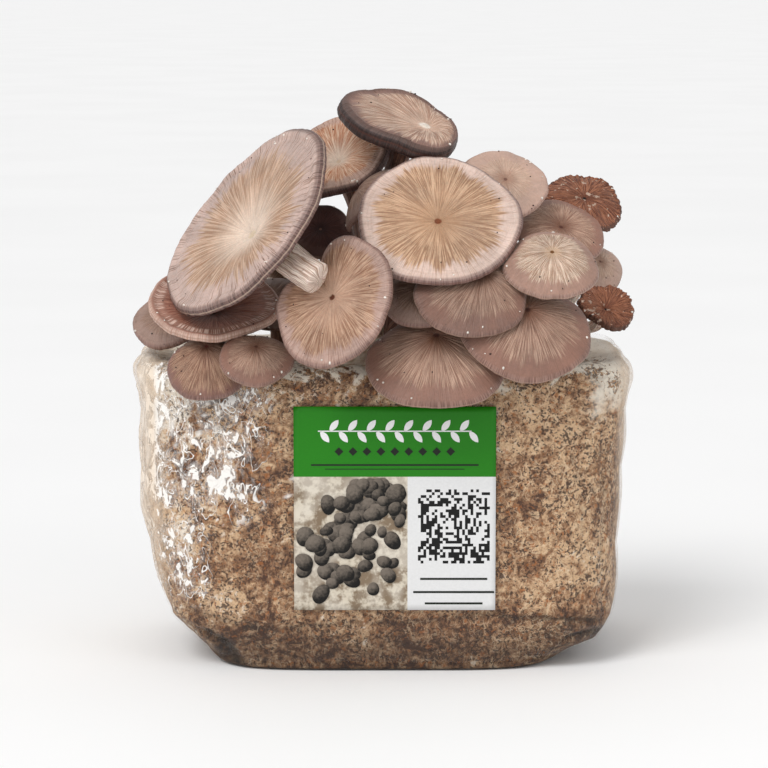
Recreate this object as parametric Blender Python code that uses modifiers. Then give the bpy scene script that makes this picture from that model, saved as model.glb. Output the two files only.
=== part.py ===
"""Oyster mushroom grow kit: a sawdust block in a clear bag, with a cluster of mushrooms on top.

Sizes are in metres. The block stands on Z = 0 with its front at -Y, its label on the front face,
and the cluster grows from the front half of its flat top.
"""

import math

import bmesh
import bpy
from mathutils import Matrix, Vector

MM = 0.001
GAP = 0.3 * MM

# The block and its bag. The bag's film ends at the rim's height
BLOCK_DEPTH = 127 * MM
BLOCK_HEIGHT = 131.5 * MM
BLOCK_CUTS = 7
FRONT_FACE_Y = -62 * MM
FILM = 0.4 * MM
RIM_HEIGHT = 126 * MM
BLOCK_BOTTOM = FILM + GAP
BLOCK_TOP = BLOCK_BOTTOM + BLOCK_HEIGHT

# The block's two ends, from its foot to its top: height and how far out they stand, in mm
LEFT_END = (
    (0, 76), (8, 84), (20, 94), (36, 98.5), (66, 105.5), (96, 106), (111, 105), (123, 108.4), (132, 111)
)
RIGHT_END = (
    (0, 78), (8, 97), (20, 103), (36, 103.6), (66, 104.6), (96, 106.5), (111, 107), (123, 110), (132, 111)
)

# How square the block's upright and level edges are. An ellipse has 2
PLAN_SQUARENESS = 5
EDGE_SQUARENESS = 16

# The cuts lie nearer to the block's edges the smaller this is
CUT_SPREAD = 0.6

# The share of half its height at which the rounded block is cut off flat
FLAT_LEVEL = 0.955

# Front and back stand out by this much at mid height
SWELL = 2 * MM

# Waves of the ends and of the back: their depth, and radians per metre up and along
END_WAVE = (1.2 * MM, 95, 60)
END_WAVE_FADE = 6
BACK_WAVE = (1.5 * MM, 70, 45)
BACK_WAVE_FADE = 4

# The block's top edge stands up by this much, outside this share of the way from its middle
EDGE_RISE = 4 * MM
EDGE_RISE_FROM = 0.9

# The label on the front face
LABEL_WIDTH = 87 * MM
LABEL_HEIGHT = 89 * MM
LABEL_THICKNESS = 0.3 * MM
LABEL_X = 5.5 * MM
LABEL_Z = 72.5 * MM

# A stem runs straight for this far at its cap and at the block, and curves between. Its bend
# reaches in from each end by a share of the distance between them
STRAIGHT_END = 2 * MM
BEND_REACH = 0.4
STEM_STEPS = 5
STEM_SIDES_RESOLUTION = 1

# A stem is this share wider at its foot and this share narrower halfway
FOOT_SWELL = 0.15
WAIST = 0.2

# The lumps of fused tissue that most stems grow from: middle and size in plan, in mm
BASES = {
    "base_middle": dict(centre=(0, -4), size=(82, 76)),
    "base_right": dict(centre=(70, 2), size=(40, 58)),
    "base_left": dict(centre=(-70, -14), size=(38, 30)),
}
BASE_HEIGHT = 6 * MM
BASE_SIDES = 20

# How much of its width a lump's outline waves in and out, three and five times round
BASE_WAVES = (0.04, 0.03)

# A lump's profile from its foot to its flat top: share of its width, share of its height
BASE_PROFILE = ((0.0, 0.0), (0.97, 0.0), (1.0, 0.3), (0.94, 0.75), (0.86, 1.0), (0.0, 1.0))

# Each mushroom: the centre of its rim in mm, the rim's width and length in mm, the way its
# cap faces (turned from the front towards +X, and lifted from level) in degrees, how much
# it domes, how deep its middle is cupped and how thick its rim is in mm, how far its middle
# lies from its centre across and uphill as a share of the way to the rim, and where its stem
# stands and how wide it is in mm. It stands on a lump where base is set, else on the block
MUSHROOMS = {
    "top": dict(
        centre=(8, -8, 237), size=(56, 54), faces=(42, 62), dome=6, cup=9, rim=6,
        umbo=(0.25, 0), foot=(14, 10), base=True, stem=10,
    ),
    "upper_left": dict(
        centre=(-21, 2, 221), size=(52, 48), faces=(-30, 47), dome=5, cup=10, rim=4,
        umbo=(0, 0), foot=(-9, 14), base=True, stem=10,
    ),
    "big_left": dict(
        centre=(-59, -54, 197), size=(96, 96), faces=(-60, 37), dome=6, cup=9, rim=4,
        umbo=(0, 0), foot=(-24, -12), base=True, stem=13,
    ),
    "saucer": dict(
        centre=(-73, -44, 160), size=(58, 54), faces=(6, 62), dome=3, cup=9, rim=3,
        umbo=(0, 0), foot=(-64, -17), base=True, stem=9,
    ),
    "heart": dict(
        centre=(-21, -80, 166), size=(51, 62), faces=(-14, 28), dome=5, cup=5, rim=3,
        umbo=(0, 0), foot=(-27, -46), stem=9, notch=0.55, notch_at=135,
    ),
    "far_left": dict(
        centre=(-93, -20, 150), size=(37, 35), faces=(-25, 52), dome=5, cup=3, rim=2.5,
        umbo=(0, 0), foot=(-77, -11), base=True, stem=7,
    ),
    "low_left": dict(
        centre=(-75, -63.5, 133.5), size=(34, 31), faces=(4, 38), dome=6, cup=1, rim=2,
        umbo=(0, 0.55), foot=(-74, -46), stem=4.5,
    ),
    "low_left_small": dict(
        centre=(-53.5, -69.5, 138.2), size=(32, 28), faces=(8, 48), dome=5, cup=1, rim=2,
        umbo=(0, 0.3), foot=(-54, -44), stem=5,
    ),
    "shaded_left": dict(
        centre=(-50, -8, 155.5), size=(30, 28), faces=(-4, 40), dome=4, cup=2, rim=2,
        umbo=(0, 0), foot=(-47, 8), stem=6,
    ),
    "shaded_centre": dict(
        centre=(-27, -14, 188), size=(28, 28), faces=(-5, 38), dome=4, cup=2, rim=2,
        umbo=(0, 0), foot=(-19, 1), base=True, stem=7,
    ),
    "curled": dict(
        centre=(-5, -22, 203), size=(20, 34), faces=(-84, 37), dome=8, cup=1, rim=2,
        umbo=(0, 0), foot=(4, -8), base=True, stem=6,
    ),
    "centre": dict(
        centre=(24, -54, 197), size=(71, 70), faces=(0, 44), dome=4, cup=6, rim=3,
        umbo=(0, 0), foot=(19, -20), base=True, stem=13,
    ),
    "upper_right": dict(
        centre=(54, -12, 209), size=(39, 39), faces=(12, 46), dome=5, cup=2, rim=2.2,
        umbo=(0, 0), foot=(60, 10), base=True, stem=9,
    ),
    "dried_top": dict(
        centre=(91, 20, 198), size=(37, 35), faces=(15, 47), dome=6, cup=3, rim=2.5,
        umbo=(0, 0), foot=(77, 19), base=True, stem=8,
    ),
    "right": dict(
        centre=(79, -8, 188), size=(42, 38), faces=(18, 50), dome=6, cup=4, rim=2.2,
        umbo=(0, 0), foot=(67, -2), base=True, stem=8,
    ),
    "front_right": dict(
        centre=(72, -64, 178), size=(41, 35), faces=(5, 43), dome=8, cup=2, rim=2.2,
        umbo=(0, 0.15), foot=(70, -14), base=True, stem=8,
    ),
    "small_right": dict(
        centre=(96, 0, 171), size=(26, 26), faces=(30, 42), dome=5, cup=1, rim=2,
        umbo=(0, 0), foot=(80, 7), base=True, stem=6,
    ),
    "dried_low": dict(
        centre=(99, -26, 156), size=(25, 25), faces=(25, 45), dome=2, cup=4, rim=3,
        umbo=(0, 0), foot=(80, -9), base=True, stem=6,
    ),
    "low_right": dict(
        centre=(62, -70, 149.5), size=(56, 48), faces=(8, 42), dome=10, cup=4, rim=2.2,
        umbo=(0, 0.35), foot=(58, -44), stem=9,
    ),
    "low_centre": dict(
        centre=(23, -70, 137), size=(60, 50), faces=(-2, 46), dome=9, cup=4, rim=2.2,
        umbo=(0, 0.45), foot=(22, -47), stem=8,
    ),
    "middle": dict(
        centre=(38, -70, 166), size=(48, 43), faces=(3, 41), dome=6, cup=3, rim=2.2,
        umbo=(0.22, 0.5), foot=(42, -34), stem=7,
    ),
    "middle_left": dict(
        centre=(18, -58, 163), size=(38, 30), faces=(-5, 46), dome=5, cup=2, rim=2.2,
        umbo=(0, 0.3), foot=(4, -29), base=True, stem=7,
    ),
    "back_centre": dict(
        centre=(4, 46, 178), size=(52, 48), faces=(184, 48), dome=8, cup=5, rim=2.5,
        umbo=(0, 0.2), foot=(3, 22), base=True, stem=10,
    ),
    "back_left": dict(
        centre=(-50, 34, 160), size=(42, 38), faces=(164, 46), dome=8, cup=3, rim=2.2,
        umbo=(0, 0.3), foot=(-46, 20), stem=8,
    ),
    "back_right": dict(
        centre=(48, 44, 164), size=(44, 40), faces=(196, 44), dome=8, cup=3, rim=2.2,
        umbo=(0, 0.3), foot=(46, 24), stem=8,
    ),
    "back_low": dict(
        centre=(-8, 62, 148), size=(38, 34), faces=(176, 40), dome=7, cup=2, rim=2.2,
        umbo=(0, 0.4), foot=(-8, 44), stem=7,
    ),
}

# Cap profile from its middle out, over the rim and back in under the gills: how far out from
# the middle as a share of the rim, and how far below the cap's top in rim thicknesses
CAP_TOP = ((0.0, 0.0), (0.36, 0.0), (0.68, 0.0), (0.92, 0.03), (1.0, 0.5))
CAP_UNDERSIDE = ((0.96, 1.0), (0.7, 1.1))

# The neck begins at this share of the way to the rim, with flesh of this thickness over it,
# and is this many times as deep as its radius
NECK_FROM = 0.4
MIDDLE_THICKNESS = 4.5 * MM
NECK_DEPTH = 1.05

# The points of the profile that become the neck are marked by lying this low
NECK_MARK = -1.0

# Sides of a cap's outline, for each width in mm that a cap is narrower than
CAP_SIDES = ((35, 10), (55, 12), (200, 16))

# How much of its width a cap's outline waves in and out, three and five times round
RIM_WAVES = (0.025, 0.015)

# Half the width of a notch in the rim, in radians
NOTCH_WIDTH = 0.55

# A cap's cupped middle is narrower the larger this is
CUP_POWER = 1.5


def new_collection(name):
    collection = bpy.data.collections.new(name)
    bpy.context.scene.collection.children.link(collection)
    return collection


def new_material(name, colour, roughness, metallic=0.0, alpha=1.0):
    material = bpy.data.materials.new(name)
    material.use_nodes = True
    shader = material.node_tree.nodes["Principled BSDF"]
    shader.inputs["Base Color"].default_value = (*colour, 1.0)
    shader.inputs["Roughness"].default_value = roughness
    shader.inputs["Metallic"].default_value = metallic
    shader.inputs["Alpha"].default_value = alpha
    return material


def new_object(name, mesh, material, collection):
    mesh.materials.append(material)
    obj = bpy.data.objects.new(name, mesh)
    collection.objects.link(obj)
    return obj


def rounded(u, v, w):
    """Moves a point of a cube's surface onto a block with round upright and level edges."""
    plan = max(abs(u), abs(v))
    if plan > 0:
        squeeze = plan / (abs(u) ** PLAN_SQUARENESS + abs(v) ** PLAN_SQUARENESS) ** (1 / PLAN_SQUARENESS)
        u *= squeeze
        v *= squeeze
    edge = max(plan, abs(w)) / (plan**EDGE_SQUARENESS + abs(w) ** EDGE_SQUARENESS) ** (1 / EDGE_SQUARENESS)
    return u * edge, v * edge, w * edge


def end_reach(height, end):
    """How far an end of the block stands out at a height, between the two points next to it."""
    level = height / MM
    low, high = next(pair for pair in zip(end, end[1:]) if level <= pair[1][0])
    share = (level - low[0]) / (high[0] - low[0])
    return (low[1] + (high[1] - low[1]) * share) * MM


def block_point(co):
    """The point of the block's surface for a point of a cube from -1 to 1."""
    spread = [math.copysign(abs(c) ** CUT_SPREAD, c) for c in co]
    a, b, c = rounded(*spread)
    c = min(max(c, -FLAT_LEVEL), FLAT_LEVEL)
    height = BLOCK_HEIGHT * (c + FLAT_LEVEL) / (2 * FLAT_LEVEL)
    x = a * end_reach(height, LEFT_END if a < 0 else RIGHT_END)
    y = b * (0.5 * BLOCK_DEPTH + SWELL * (math.sin(math.pi * height / BLOCK_HEIGHT) - 1))
    depth, up, along = END_WAVE
    end_wave = depth * math.sin(up * height + along * y) * abs(a) ** END_WAVE_FADE
    depth, up, along = BACK_WAVE
    back_wave = depth * math.sin(up * height + along * x) * max(b, 0) ** BACK_WAVE_FADE
    if c > EDGE_RISE_FROM and max(abs(a), b) > EDGE_RISE_FROM:
        height += EDGE_RISE
    return Vector(
        (x + math.copysign(end_wave, a), max(y, FRONT_FACE_Y) + back_wave, height + BLOCK_BOTTOM)
    )


def block_shape():
    """The block as a cube that is cut finer and moved onto the block's surface."""
    bm = bmesh.new()
    bmesh.ops.create_cube(bm, size=2)
    bmesh.ops.subdivide_edges(bm, edges=bm.edges[:], cuts=BLOCK_CUTS, use_grid_fill=True)
    for vert in bm.verts:
        vert.co = block_point(vert.co)
    bm.normal_update()
    return bm


def finish_mesh(bm, name):
    bmesh.ops.recalc_face_normals(bm, faces=bm.faces[:])
    mesh = bpy.data.meshes.new(name)
    bm.to_mesh(mesh)
    bm.free()
    mesh.shade_smooth()
    return mesh


def make_block(collection):
    material = new_material("sawdust", (0.42, 0.27, 0.17), 0.9)
    new_object("substrate_block", finish_mesh(block_shape(), "substrate_block"), material, collection)


def make_bag(collection):
    """The clear film round the block, open at the top."""
    bm = block_shape()
    for vert in bm.verts:
        vert.co += vert.normal * GAP
    above = [f for f in bm.faces if all(v.co.z > RIM_HEIGHT for v in f.verts)]
    bmesh.ops.delete(bm, geom=above, context="FACES")
    material = new_material("clear_film", (0.9, 0.9, 0.88), 0.15, alpha=0.35)
    bag = new_object("bag", finish_mesh(bm, "bag"), material, collection)
    solidify = bag.modifiers.new("Film", "SOLIDIFY")
    solidify.thickness = FILM
    solidify.offset = 1.0
    solidify.use_even_offset = True


def make_label(collection):
    bm = bmesh.new()
    bmesh.ops.create_cube(bm, size=1)
    bmesh.ops.scale(bm, vec=(LABEL_WIDTH, LABEL_THICKNESS, LABEL_HEIGHT), verts=bm.verts[:])
    label = new_object(
        "label", finish_mesh(bm, "label"), new_material("label_paper", (0.9, 0.9, 0.88), 0.4), collection
    )
    label.data.shade_flat()
    label.location = (LABEL_X, FRONT_FACE_Y - 2 * GAP - FILM - LABEL_THICKNESS / 2, LABEL_Z)


def make_bases(collection):
    material = new_material("fused_tissue", (0.8, 0.74, 0.62), 0.8)
    for name, spec in BASES.items():
        bm = bmesh.new()
        profile = [bm.verts.new((out, 0, up)) for out, up in BASE_PROFILE]
        edges = [bm.edges.new(pair) for pair in zip(profile, profile[1:])]
        bmesh.ops.spin(
            bm, geom=profile + edges, axis=(0, 0, 1), cent=(0, 0, 0), steps=BASE_SIDES, angle=math.tau
        )
        bmesh.ops.remove_doubles(bm, verts=bm.verts[:], dist=1e-4)
        for vert in bm.verts:
            angle = math.atan2(vert.co.y, vert.co.x)
            waves = 1 + BASE_WAVES[0] * math.sin(3 * angle + spec["size"][0])
            waves += BASE_WAVES[1] * math.sin(5 * angle)
            vert.co.x *= spec["size"][0] * MM / 2 * waves
            vert.co.y *= spec["size"][1] * MM / 2 * waves
            vert.co.z *= BASE_HEIGHT
        base = new_object(name, finish_mesh(bm, name), material, collection)
        base.location = (spec["centre"][0] * MM, spec["centre"][1] * MM, BLOCK_TOP + GAP)


def cap_frame(centre, faces):
    """The matrix that puts a cap in place: its X runs across, its Y uphill and its Z out of the cap."""
    turn, lift = (math.radians(angle) for angle in faces)
    normal = Vector((math.sin(turn) * math.cos(lift), -math.cos(turn) * math.cos(lift), math.sin(lift)))
    across = Vector((math.cos(turn), math.sin(turn), 0))
    uphill = normal.cross(across)
    frame = Matrix((across, uphill, normal)).transposed().to_4x4()
    frame.translation = Vector(centre) * MM
    return frame


def rim_point(angle, size, notch=0.0, notch_at=90):
    """A point of the rim's outline, at an angle round the cap's middle."""
    waves = 1 + RIM_WAVES[0] * math.sin(3 * angle + size[0]) + RIM_WAVES[1] * math.sin(5 * angle + size[1])
    apart = (angle - math.radians(notch_at) + math.pi) % math.tau - math.pi
    cut = 1 - notch * math.exp(-((apart / NOTCH_WIDTH) ** 2))
    reach = 0.5 * MM * waves * cut
    return Vector((size[0] * reach * math.cos(angle), size[1] * reach * math.sin(angle), 0))


def cap_height(share, dome, cup):
    """How far a cap's top stands over its rim, at a share of the way from its middle to its rim."""
    return (dome * (1 - share**2) - cup * max(1 - share, 0) ** CUP_POWER) * MM


def neck_of(spec):
    """The middle of the cap's flat neck, in the cap's own frame, and the neck's radius."""
    radius = spec["stem"] * MM / 2
    middle = Vector((spec["umbo"][0] * spec["size"][0], spec["umbo"][1] * spec["size"][1], 0)) * MM / 2
    middle.z = cap_height(0, spec["dome"], spec["cup"]) - MIDDLE_THICKNESS - NECK_DEPTH * radius
    return middle, radius


def cap_shape(spec):
    """A cap as a turned profile, stretched to its outline and height."""
    sides = next(number for width, number in CAP_SIDES if max(spec["size"]) < width)
    neck, neck_radius = neck_of(spec)
    thickness = spec["rim"] * MM
    bm = bmesh.new()
    profile = [bm.verts.new((share, 0, -down * thickness)) for share, down in CAP_TOP + CAP_UNDERSIDE]
    profile.append(bm.verts.new((NECK_FROM, 0, -MIDDLE_THICKNESS)))
    profile.append(bm.verts.new((NECK_FROM / 2, 0, NECK_MARK)))
    edges = [bm.edges.new(pair) for pair in zip(profile, profile[1:])]
    bmesh.ops.spin(
        bm, geom=profile + edges, axis=(0, 0, 1), cent=(0, 0, 0), steps=sides, angle=math.tau
    )
    bmesh.ops.remove_doubles(bm, verts=bm.verts[:], dist=1e-4)
    bmesh.ops.holes_fill(bm, edges=[e for e in bm.edges if e.is_boundary], sides=0)
    umbo = Vector((neck.x, neck.y, 0))
    for vert in bm.verts:
        share = math.hypot(vert.co.x, vert.co.y)
        angle = math.atan2(vert.co.y, vert.co.x)
        if vert.co.z < NECK_MARK / 2:
            vert.co = neck + neck_radius * Vector((math.cos(angle), math.sin(angle), 0))
            continue
        rim = rim_point(angle, spec["size"], spec.get("notch", 0), spec.get("notch_at", 90))
        place = umbo.lerp(rim, share)
        place.z = cap_height(share, spec["dome"], spec["cup"]) + vert.co.z
        vert.co = place
    return bm


def stem_path(spec):
    """Points and radii of a stem from just under its cap's neck to just over the block."""
    frame = cap_frame(spec["centre"], spec["faces"])
    neck, radius = neck_of(spec)
    out = -frame.col[2].to_3d()
    start = frame @ neck + out * GAP
    stands_at = BLOCK_TOP + GAP
    if spec.get("base"):
        stands_at += BASE_HEIGHT + GAP
    foot = Vector((spec["foot"][0] * MM, spec["foot"][1] * MM, stands_at))
    reach = BEND_REACH * (foot - start).length
    first = start + out * STRAIGHT_END
    last = foot + Vector((0, 0, STRAIGHT_END))
    points = [start]
    for step in range(STEM_STEPS + 1):
        t = step / STEM_STEPS
        near_cap = first + out * reach
        near_foot = last + Vector((0, 0, reach))
        points.append(
            first * (1 - t) ** 3
            + near_cap * 3 * t * (1 - t) ** 2
            + near_foot * 3 * t * t * (1 - t)
            + last * t**3
        )
    points.append(foot)
    shares = [i / (len(points) - 1) for i in range(len(points))]
    radii = [radius * (1 + FOOT_SWELL * share - WAIST * math.sin(math.pi * share)) for share in shares]
    return points, radii


def make_stem(name, spec, material, collection):
    points, radii = stem_path(spec)
    curve = bpy.data.curves.new("stem_" + name, "CURVE")
    curve.dimensions = "3D"
    curve.bevel_depth = 1.0
    curve.bevel_resolution = STEM_SIDES_RESOLUTION
    curve.use_fill_caps = True
    spline = curve.splines.new("POLY")
    spline.points.add(len(points) - 1)
    for place, point, radius in zip(spline.points, points, radii):
        place.co = (*point, 1)
        place.radius = radius
    curve.materials.append(material)
    collection.objects.link(bpy.data.objects.new("stem_" + name, curve))


def make_cap(name, spec, material, collection):
    cap = new_object("cap_" + name, finish_mesh(cap_shape(spec), "cap_" + name), material, collection)
    cap.matrix_world = cap_frame(spec["centre"], spec["faces"])


def make_mushrooms(collection):
    fresh = new_material("cap_skin", (0.45, 0.3, 0.24), 0.6)
    dried = new_material("dried_cap", (0.3, 0.13, 0.08), 0.85)
    flesh = new_material("stem_flesh", (0.8, 0.7, 0.58), 0.7)
    for name, spec in MUSHROOMS.items():
        make_cap(name, spec, dried if name.startswith("dried") else fresh, collection)
        make_stem(name, spec, flesh, collection)


def main():
    for obj in list(bpy.data.objects):
        bpy.data.objects.remove(obj)
    collection = new_collection("oyster_mushroom_grow_kit")
    make_block(collection)
    make_bag(collection)
    make_label(collection)
    make_bases(collection)
    make_mushrooms(collection)


main()
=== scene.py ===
"""Looks of the oyster mushroom grow kit: the cluster of mushrooms, the sawdust block, its clear bag
and the sticker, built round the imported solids.

Sizes are in millimetres unless a name says otherwise, and MM turns them into metres.
"""

import math
from functools import reduce
from itertools import combinations, product
from types import SimpleNamespace

import bpy
import numpy as np
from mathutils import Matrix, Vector


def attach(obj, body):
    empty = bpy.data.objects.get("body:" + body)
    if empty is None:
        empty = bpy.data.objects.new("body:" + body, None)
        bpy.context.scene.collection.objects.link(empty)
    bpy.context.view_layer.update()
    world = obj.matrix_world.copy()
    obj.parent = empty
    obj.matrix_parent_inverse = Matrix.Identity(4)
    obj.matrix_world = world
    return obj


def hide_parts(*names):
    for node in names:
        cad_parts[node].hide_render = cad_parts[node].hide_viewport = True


MM = 0.001
TURN = math.tau

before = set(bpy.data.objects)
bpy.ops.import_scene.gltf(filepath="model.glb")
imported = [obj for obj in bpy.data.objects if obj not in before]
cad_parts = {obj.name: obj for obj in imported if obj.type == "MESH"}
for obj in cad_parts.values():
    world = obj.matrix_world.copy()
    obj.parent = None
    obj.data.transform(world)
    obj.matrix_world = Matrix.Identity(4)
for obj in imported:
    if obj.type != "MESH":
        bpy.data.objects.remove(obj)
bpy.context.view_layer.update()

# The camera stands where the photo was taken from, in metres
CAMERA_PLACE = (0.00086, -1.2998, 0.3006)
CAMERA_TILT = 82.0
CAMERA_LENS = 136.7
SENSOR = 36.0

# The light: the sun's power, the way it comes from and how wide it looks in degrees, the sky's
# power, and each lamp's place and size in metres and its power in watts
SUN_POWER = 1.45
SUN_FROM = (-0.55, -0.8, 1.1)
SUN_WIDTH = 28
SKY_POWER = 0.65
LAMPS = {
    "glint_left": ((-0.75, -1.1, 0.55), (0.12, 0.5), 1.6),
    "fill_right": ((0.95, -0.8, 0.7), (0.8, 0.8), 2.2),
}
LAMP_AIM = (0, 0, 0.12)

# The block and its film, as in the solids
BLOCK_WIDTH = 210
BLOCK_DEPTH = 127
BLOCK_HEIGHT = 131.5
BLOCK_BOTTOM = 0.7
BLOCK_TOP = BLOCK_BOTTOM + BLOCK_HEIGHT
FRONT_FACE_Y = -62
PLAN_SQUARENESS = 5
EDGE_SQUARENESS = 16
FLAT_LEVEL = 0.955
SWELL = 2
LEFT_END = (
    (0, 76), (8, 84), (20, 94), (36, 98.5), (66, 105.5), (96, 106), (111, 105), (123, 108.4), (132, 111)
)
RIGHT_END = (
    (0, 78), (8, 97), (20, 103), (36, 103.6), (66, 104.6), (96, 106.5), (111, 107), (123, 110), (132, 111)
)
END_WAVE = (1.2, 0.095, 0.060)
END_WAVE_FADE = 6
BACK_WAVE = (1.5, 0.070, 0.045)
BACK_WAVE_FADE = 4
EDGE_RISE = 4

# Columns round the block and its film, and rows up their sides, then rings on the block's top
BLOCK_GRID = (420, 120)
FILM_GRID = (440, 124)
TOP_RINGS = 42

# Folds of the block's skin and film on the front, as points (x, z) along each, then how deep a
# groove each makes and how wide it is. A ridge has a depth below zero. The deeper a groove, the
# darker the painted shade in it on the block
FOLDS = (
    (((50, 25.5), (66, 23.5), (81, 22.4), (97, 20.5)), 1.6, 1.3),
    (((78, 18.4), (88, 19.2), (97, 19.7)), -1.0, 1.6),
    (((82, 14.2), (90, 15), (98, 14.4)), 1.5, 1.0),
    (((-86, 26.4), (-70, 22), (-52, 19), (-20, 21), (20, 23), (50, 25.5)), 0.8, 1.8),
    (((-78, 14), (-70, 10), (-64, 3)), 2.6, 2.2),
    (((-90, 20), (-80, 15), (-74, 12)), 1.2, 1.4),
    (((82, 96), (86, 80), (88, 54), (86, 30)), 0.8, 0.9),
    (((96, 100), (97, 70), (96, 40), (97, 22)), 0.9, 0.9),
    (((86, 131), (92, 129), (98, 128), (104, 123)), 0.7, 0.9),
    (((-99, 118), (-98, 90), (-97, 60), (-94, 35)), 0.7, 1.2),
)

# Creases of the film on the front, with painted white highlights along them, as points (x, z)
# along each, and how strong each is
CREASES = (
    (((-74, 121), (-76, 112), (-79, 103)), 0.9),
    (((-68, 118), (-71, 108), (-73, 98)), 0.7),
    (((-36, 90), (-39, 83), (-41, 77), (-42, 71)), 0.85),
    (((-85, 33.5), (-81, 35), (-76, 34)), 0.9),
    (((-60, 120), (-64, 110), (-66, 103)), 0.5),
    (((-92, 117), (-90, 104), (-88, 96)), 0.7),
)
CREASE_WIDTH = 0.45

# Patches of the front as their middle (x, z) and size: loose brown crumbs near the upper edge, and
# folded flaps of the gussets, which get painted shade
CRUMB_PATCHES = ((91, 130, 7, 4), (101, 125, 4, 6), (-30, 131, 10, 3), (-94, 133, 8, 4), (60, 128, 8, 5))
FLAP_SHADE_PATCHES = ((-69, 7, 6, 6), (-63, 2, 5, 4), (92, 15, 9, 2))

# The sticker, and its design in mm from its middle: each area and rule as its left, right, foot and
# top. Prints lie this far apart
LABEL_WIDTH = 87
LABEL_HEIGHT = 89
LABEL_X = 5.5
LABEL_Z = 72.5
LABEL_Y = FRONT_FACE_Y - 1.25
LABEL_THICKNESS = 0.2
BAND = (-43.5, 43.5, 14, 44.5)
PICTURE = (-43.5, 5.5, -44.5, 14)
CODE = (10, 41, -24, 8.5)
CODE_CELLS = 26
STALK = (-33, 33, 33.6, 34.1)
RULES = (
    (-36, 36, 18.8, 19.5), (-30, 30, 17.2, 17.5), (11, 40, -31.2, -30.3), (8, 43, -37, -36.1),
    (13, 38, -42, -41.1),
)
LEAVES = 17
DIAMONDS = 9
DIAMOND_RADIUS = 1.9
PEBBLES = 92
PRINT_GAP = 0.06

# Lumps of fused tissue: middle and size in plan
BASES = {
    "base_middle": ((0, -4), (82, 76)),
    "base_right": ((70, 2), (40, 58)),
    "base_left": ((-70, -14), (38, 30)),
}
BASE_HEIGHT = 6
BASE_SHARE = 0.86

# Cap shape shared with the solids
NECK_FROM = 0.4
MIDDLE_THICKNESS = 4.5
NECK_DEPTH = 1.05
RIM_WAVES = (0.025, 0.015)
NOTCH_WIDTH = 0.55
CUP_POWER = 1.5

# Where a cap's lip begins to roll over, as a share of the way from its middle to its rim, the turns
# of the roll at which it is drawn, and the shares at which its underside is drawn
ROLL_FROM = 0.955
ROLL_TURNS = (0.1, 0.22, 0.34, 0.42, 0.5, 0.62, 0.75, 0.88)
UNDER_SHARES = (0.985, 0.965, 0.93, 0.88, 0.81, 0.73, 0.64, 0.54, 0.43)
NECK_STEPS = 4

# Stem shape shared with the solids
STRAIGHT_END = 2
BEND_REACH = 0.4
FOOT_SWELL = 0.15
WAIST = 0.2

# The cut end that leaves the big left cap's stem and lies on the heart-shaped cap: its curve's four
# guides, its radius, and how far past the curve its rounded end goes and how wide it is there
STUB = ((-43.1, -44.2, 183.2), (-46, -62, 184), (-42, -78, 183), (-27.5, -87, 174.5))
STUB_RADIUS = 6.8
STUB_END = ((0.7, 0.93), (1.3, 0.72), (1.6, 0.4))

# What a mushroom has unless its row says otherwise: where its stem meets the cap and where the
# cap's middle lies, as shares of its half width and length, whether it stands on a lump, how thick
# its lip looks, how torn and how curled its rim is, how high and wide the knob in its middle is (a
# pit below zero), how deep its rim is notched and where, its tint, and whether its stem has
# darker flesh as painted shade
PLAIN_MUSHROOM = dict(
    umbo=(0, 0), middle=None, base=True, lip=0, torn=0.004, curl=1, knob=-0.35, knob_radius=1.8,
    notch=0, notch_at=90, tint=1.0, shaded=False,
)


def mushroom(centre, size, faces, shape, foot, stem, look, **others):
    """One mushroom, as in the solids: the centre of its rim, the rim's width and length, the way its
    cap faces in degrees (turned from the front, lifted from level), its dome, cup and rim
    thickness, where its stem stands, how wide the stem is, and its look's name.
    """
    dome, cup, rim = shape
    spec = dict(PLAIN_MUSHROOM, centre=centre, size=size, faces=faces, dome=dome, cup=cup, rim=rim)
    return SimpleNamespace(**dict(spec, foot=foot, stem=stem, look=look, **others))


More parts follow.
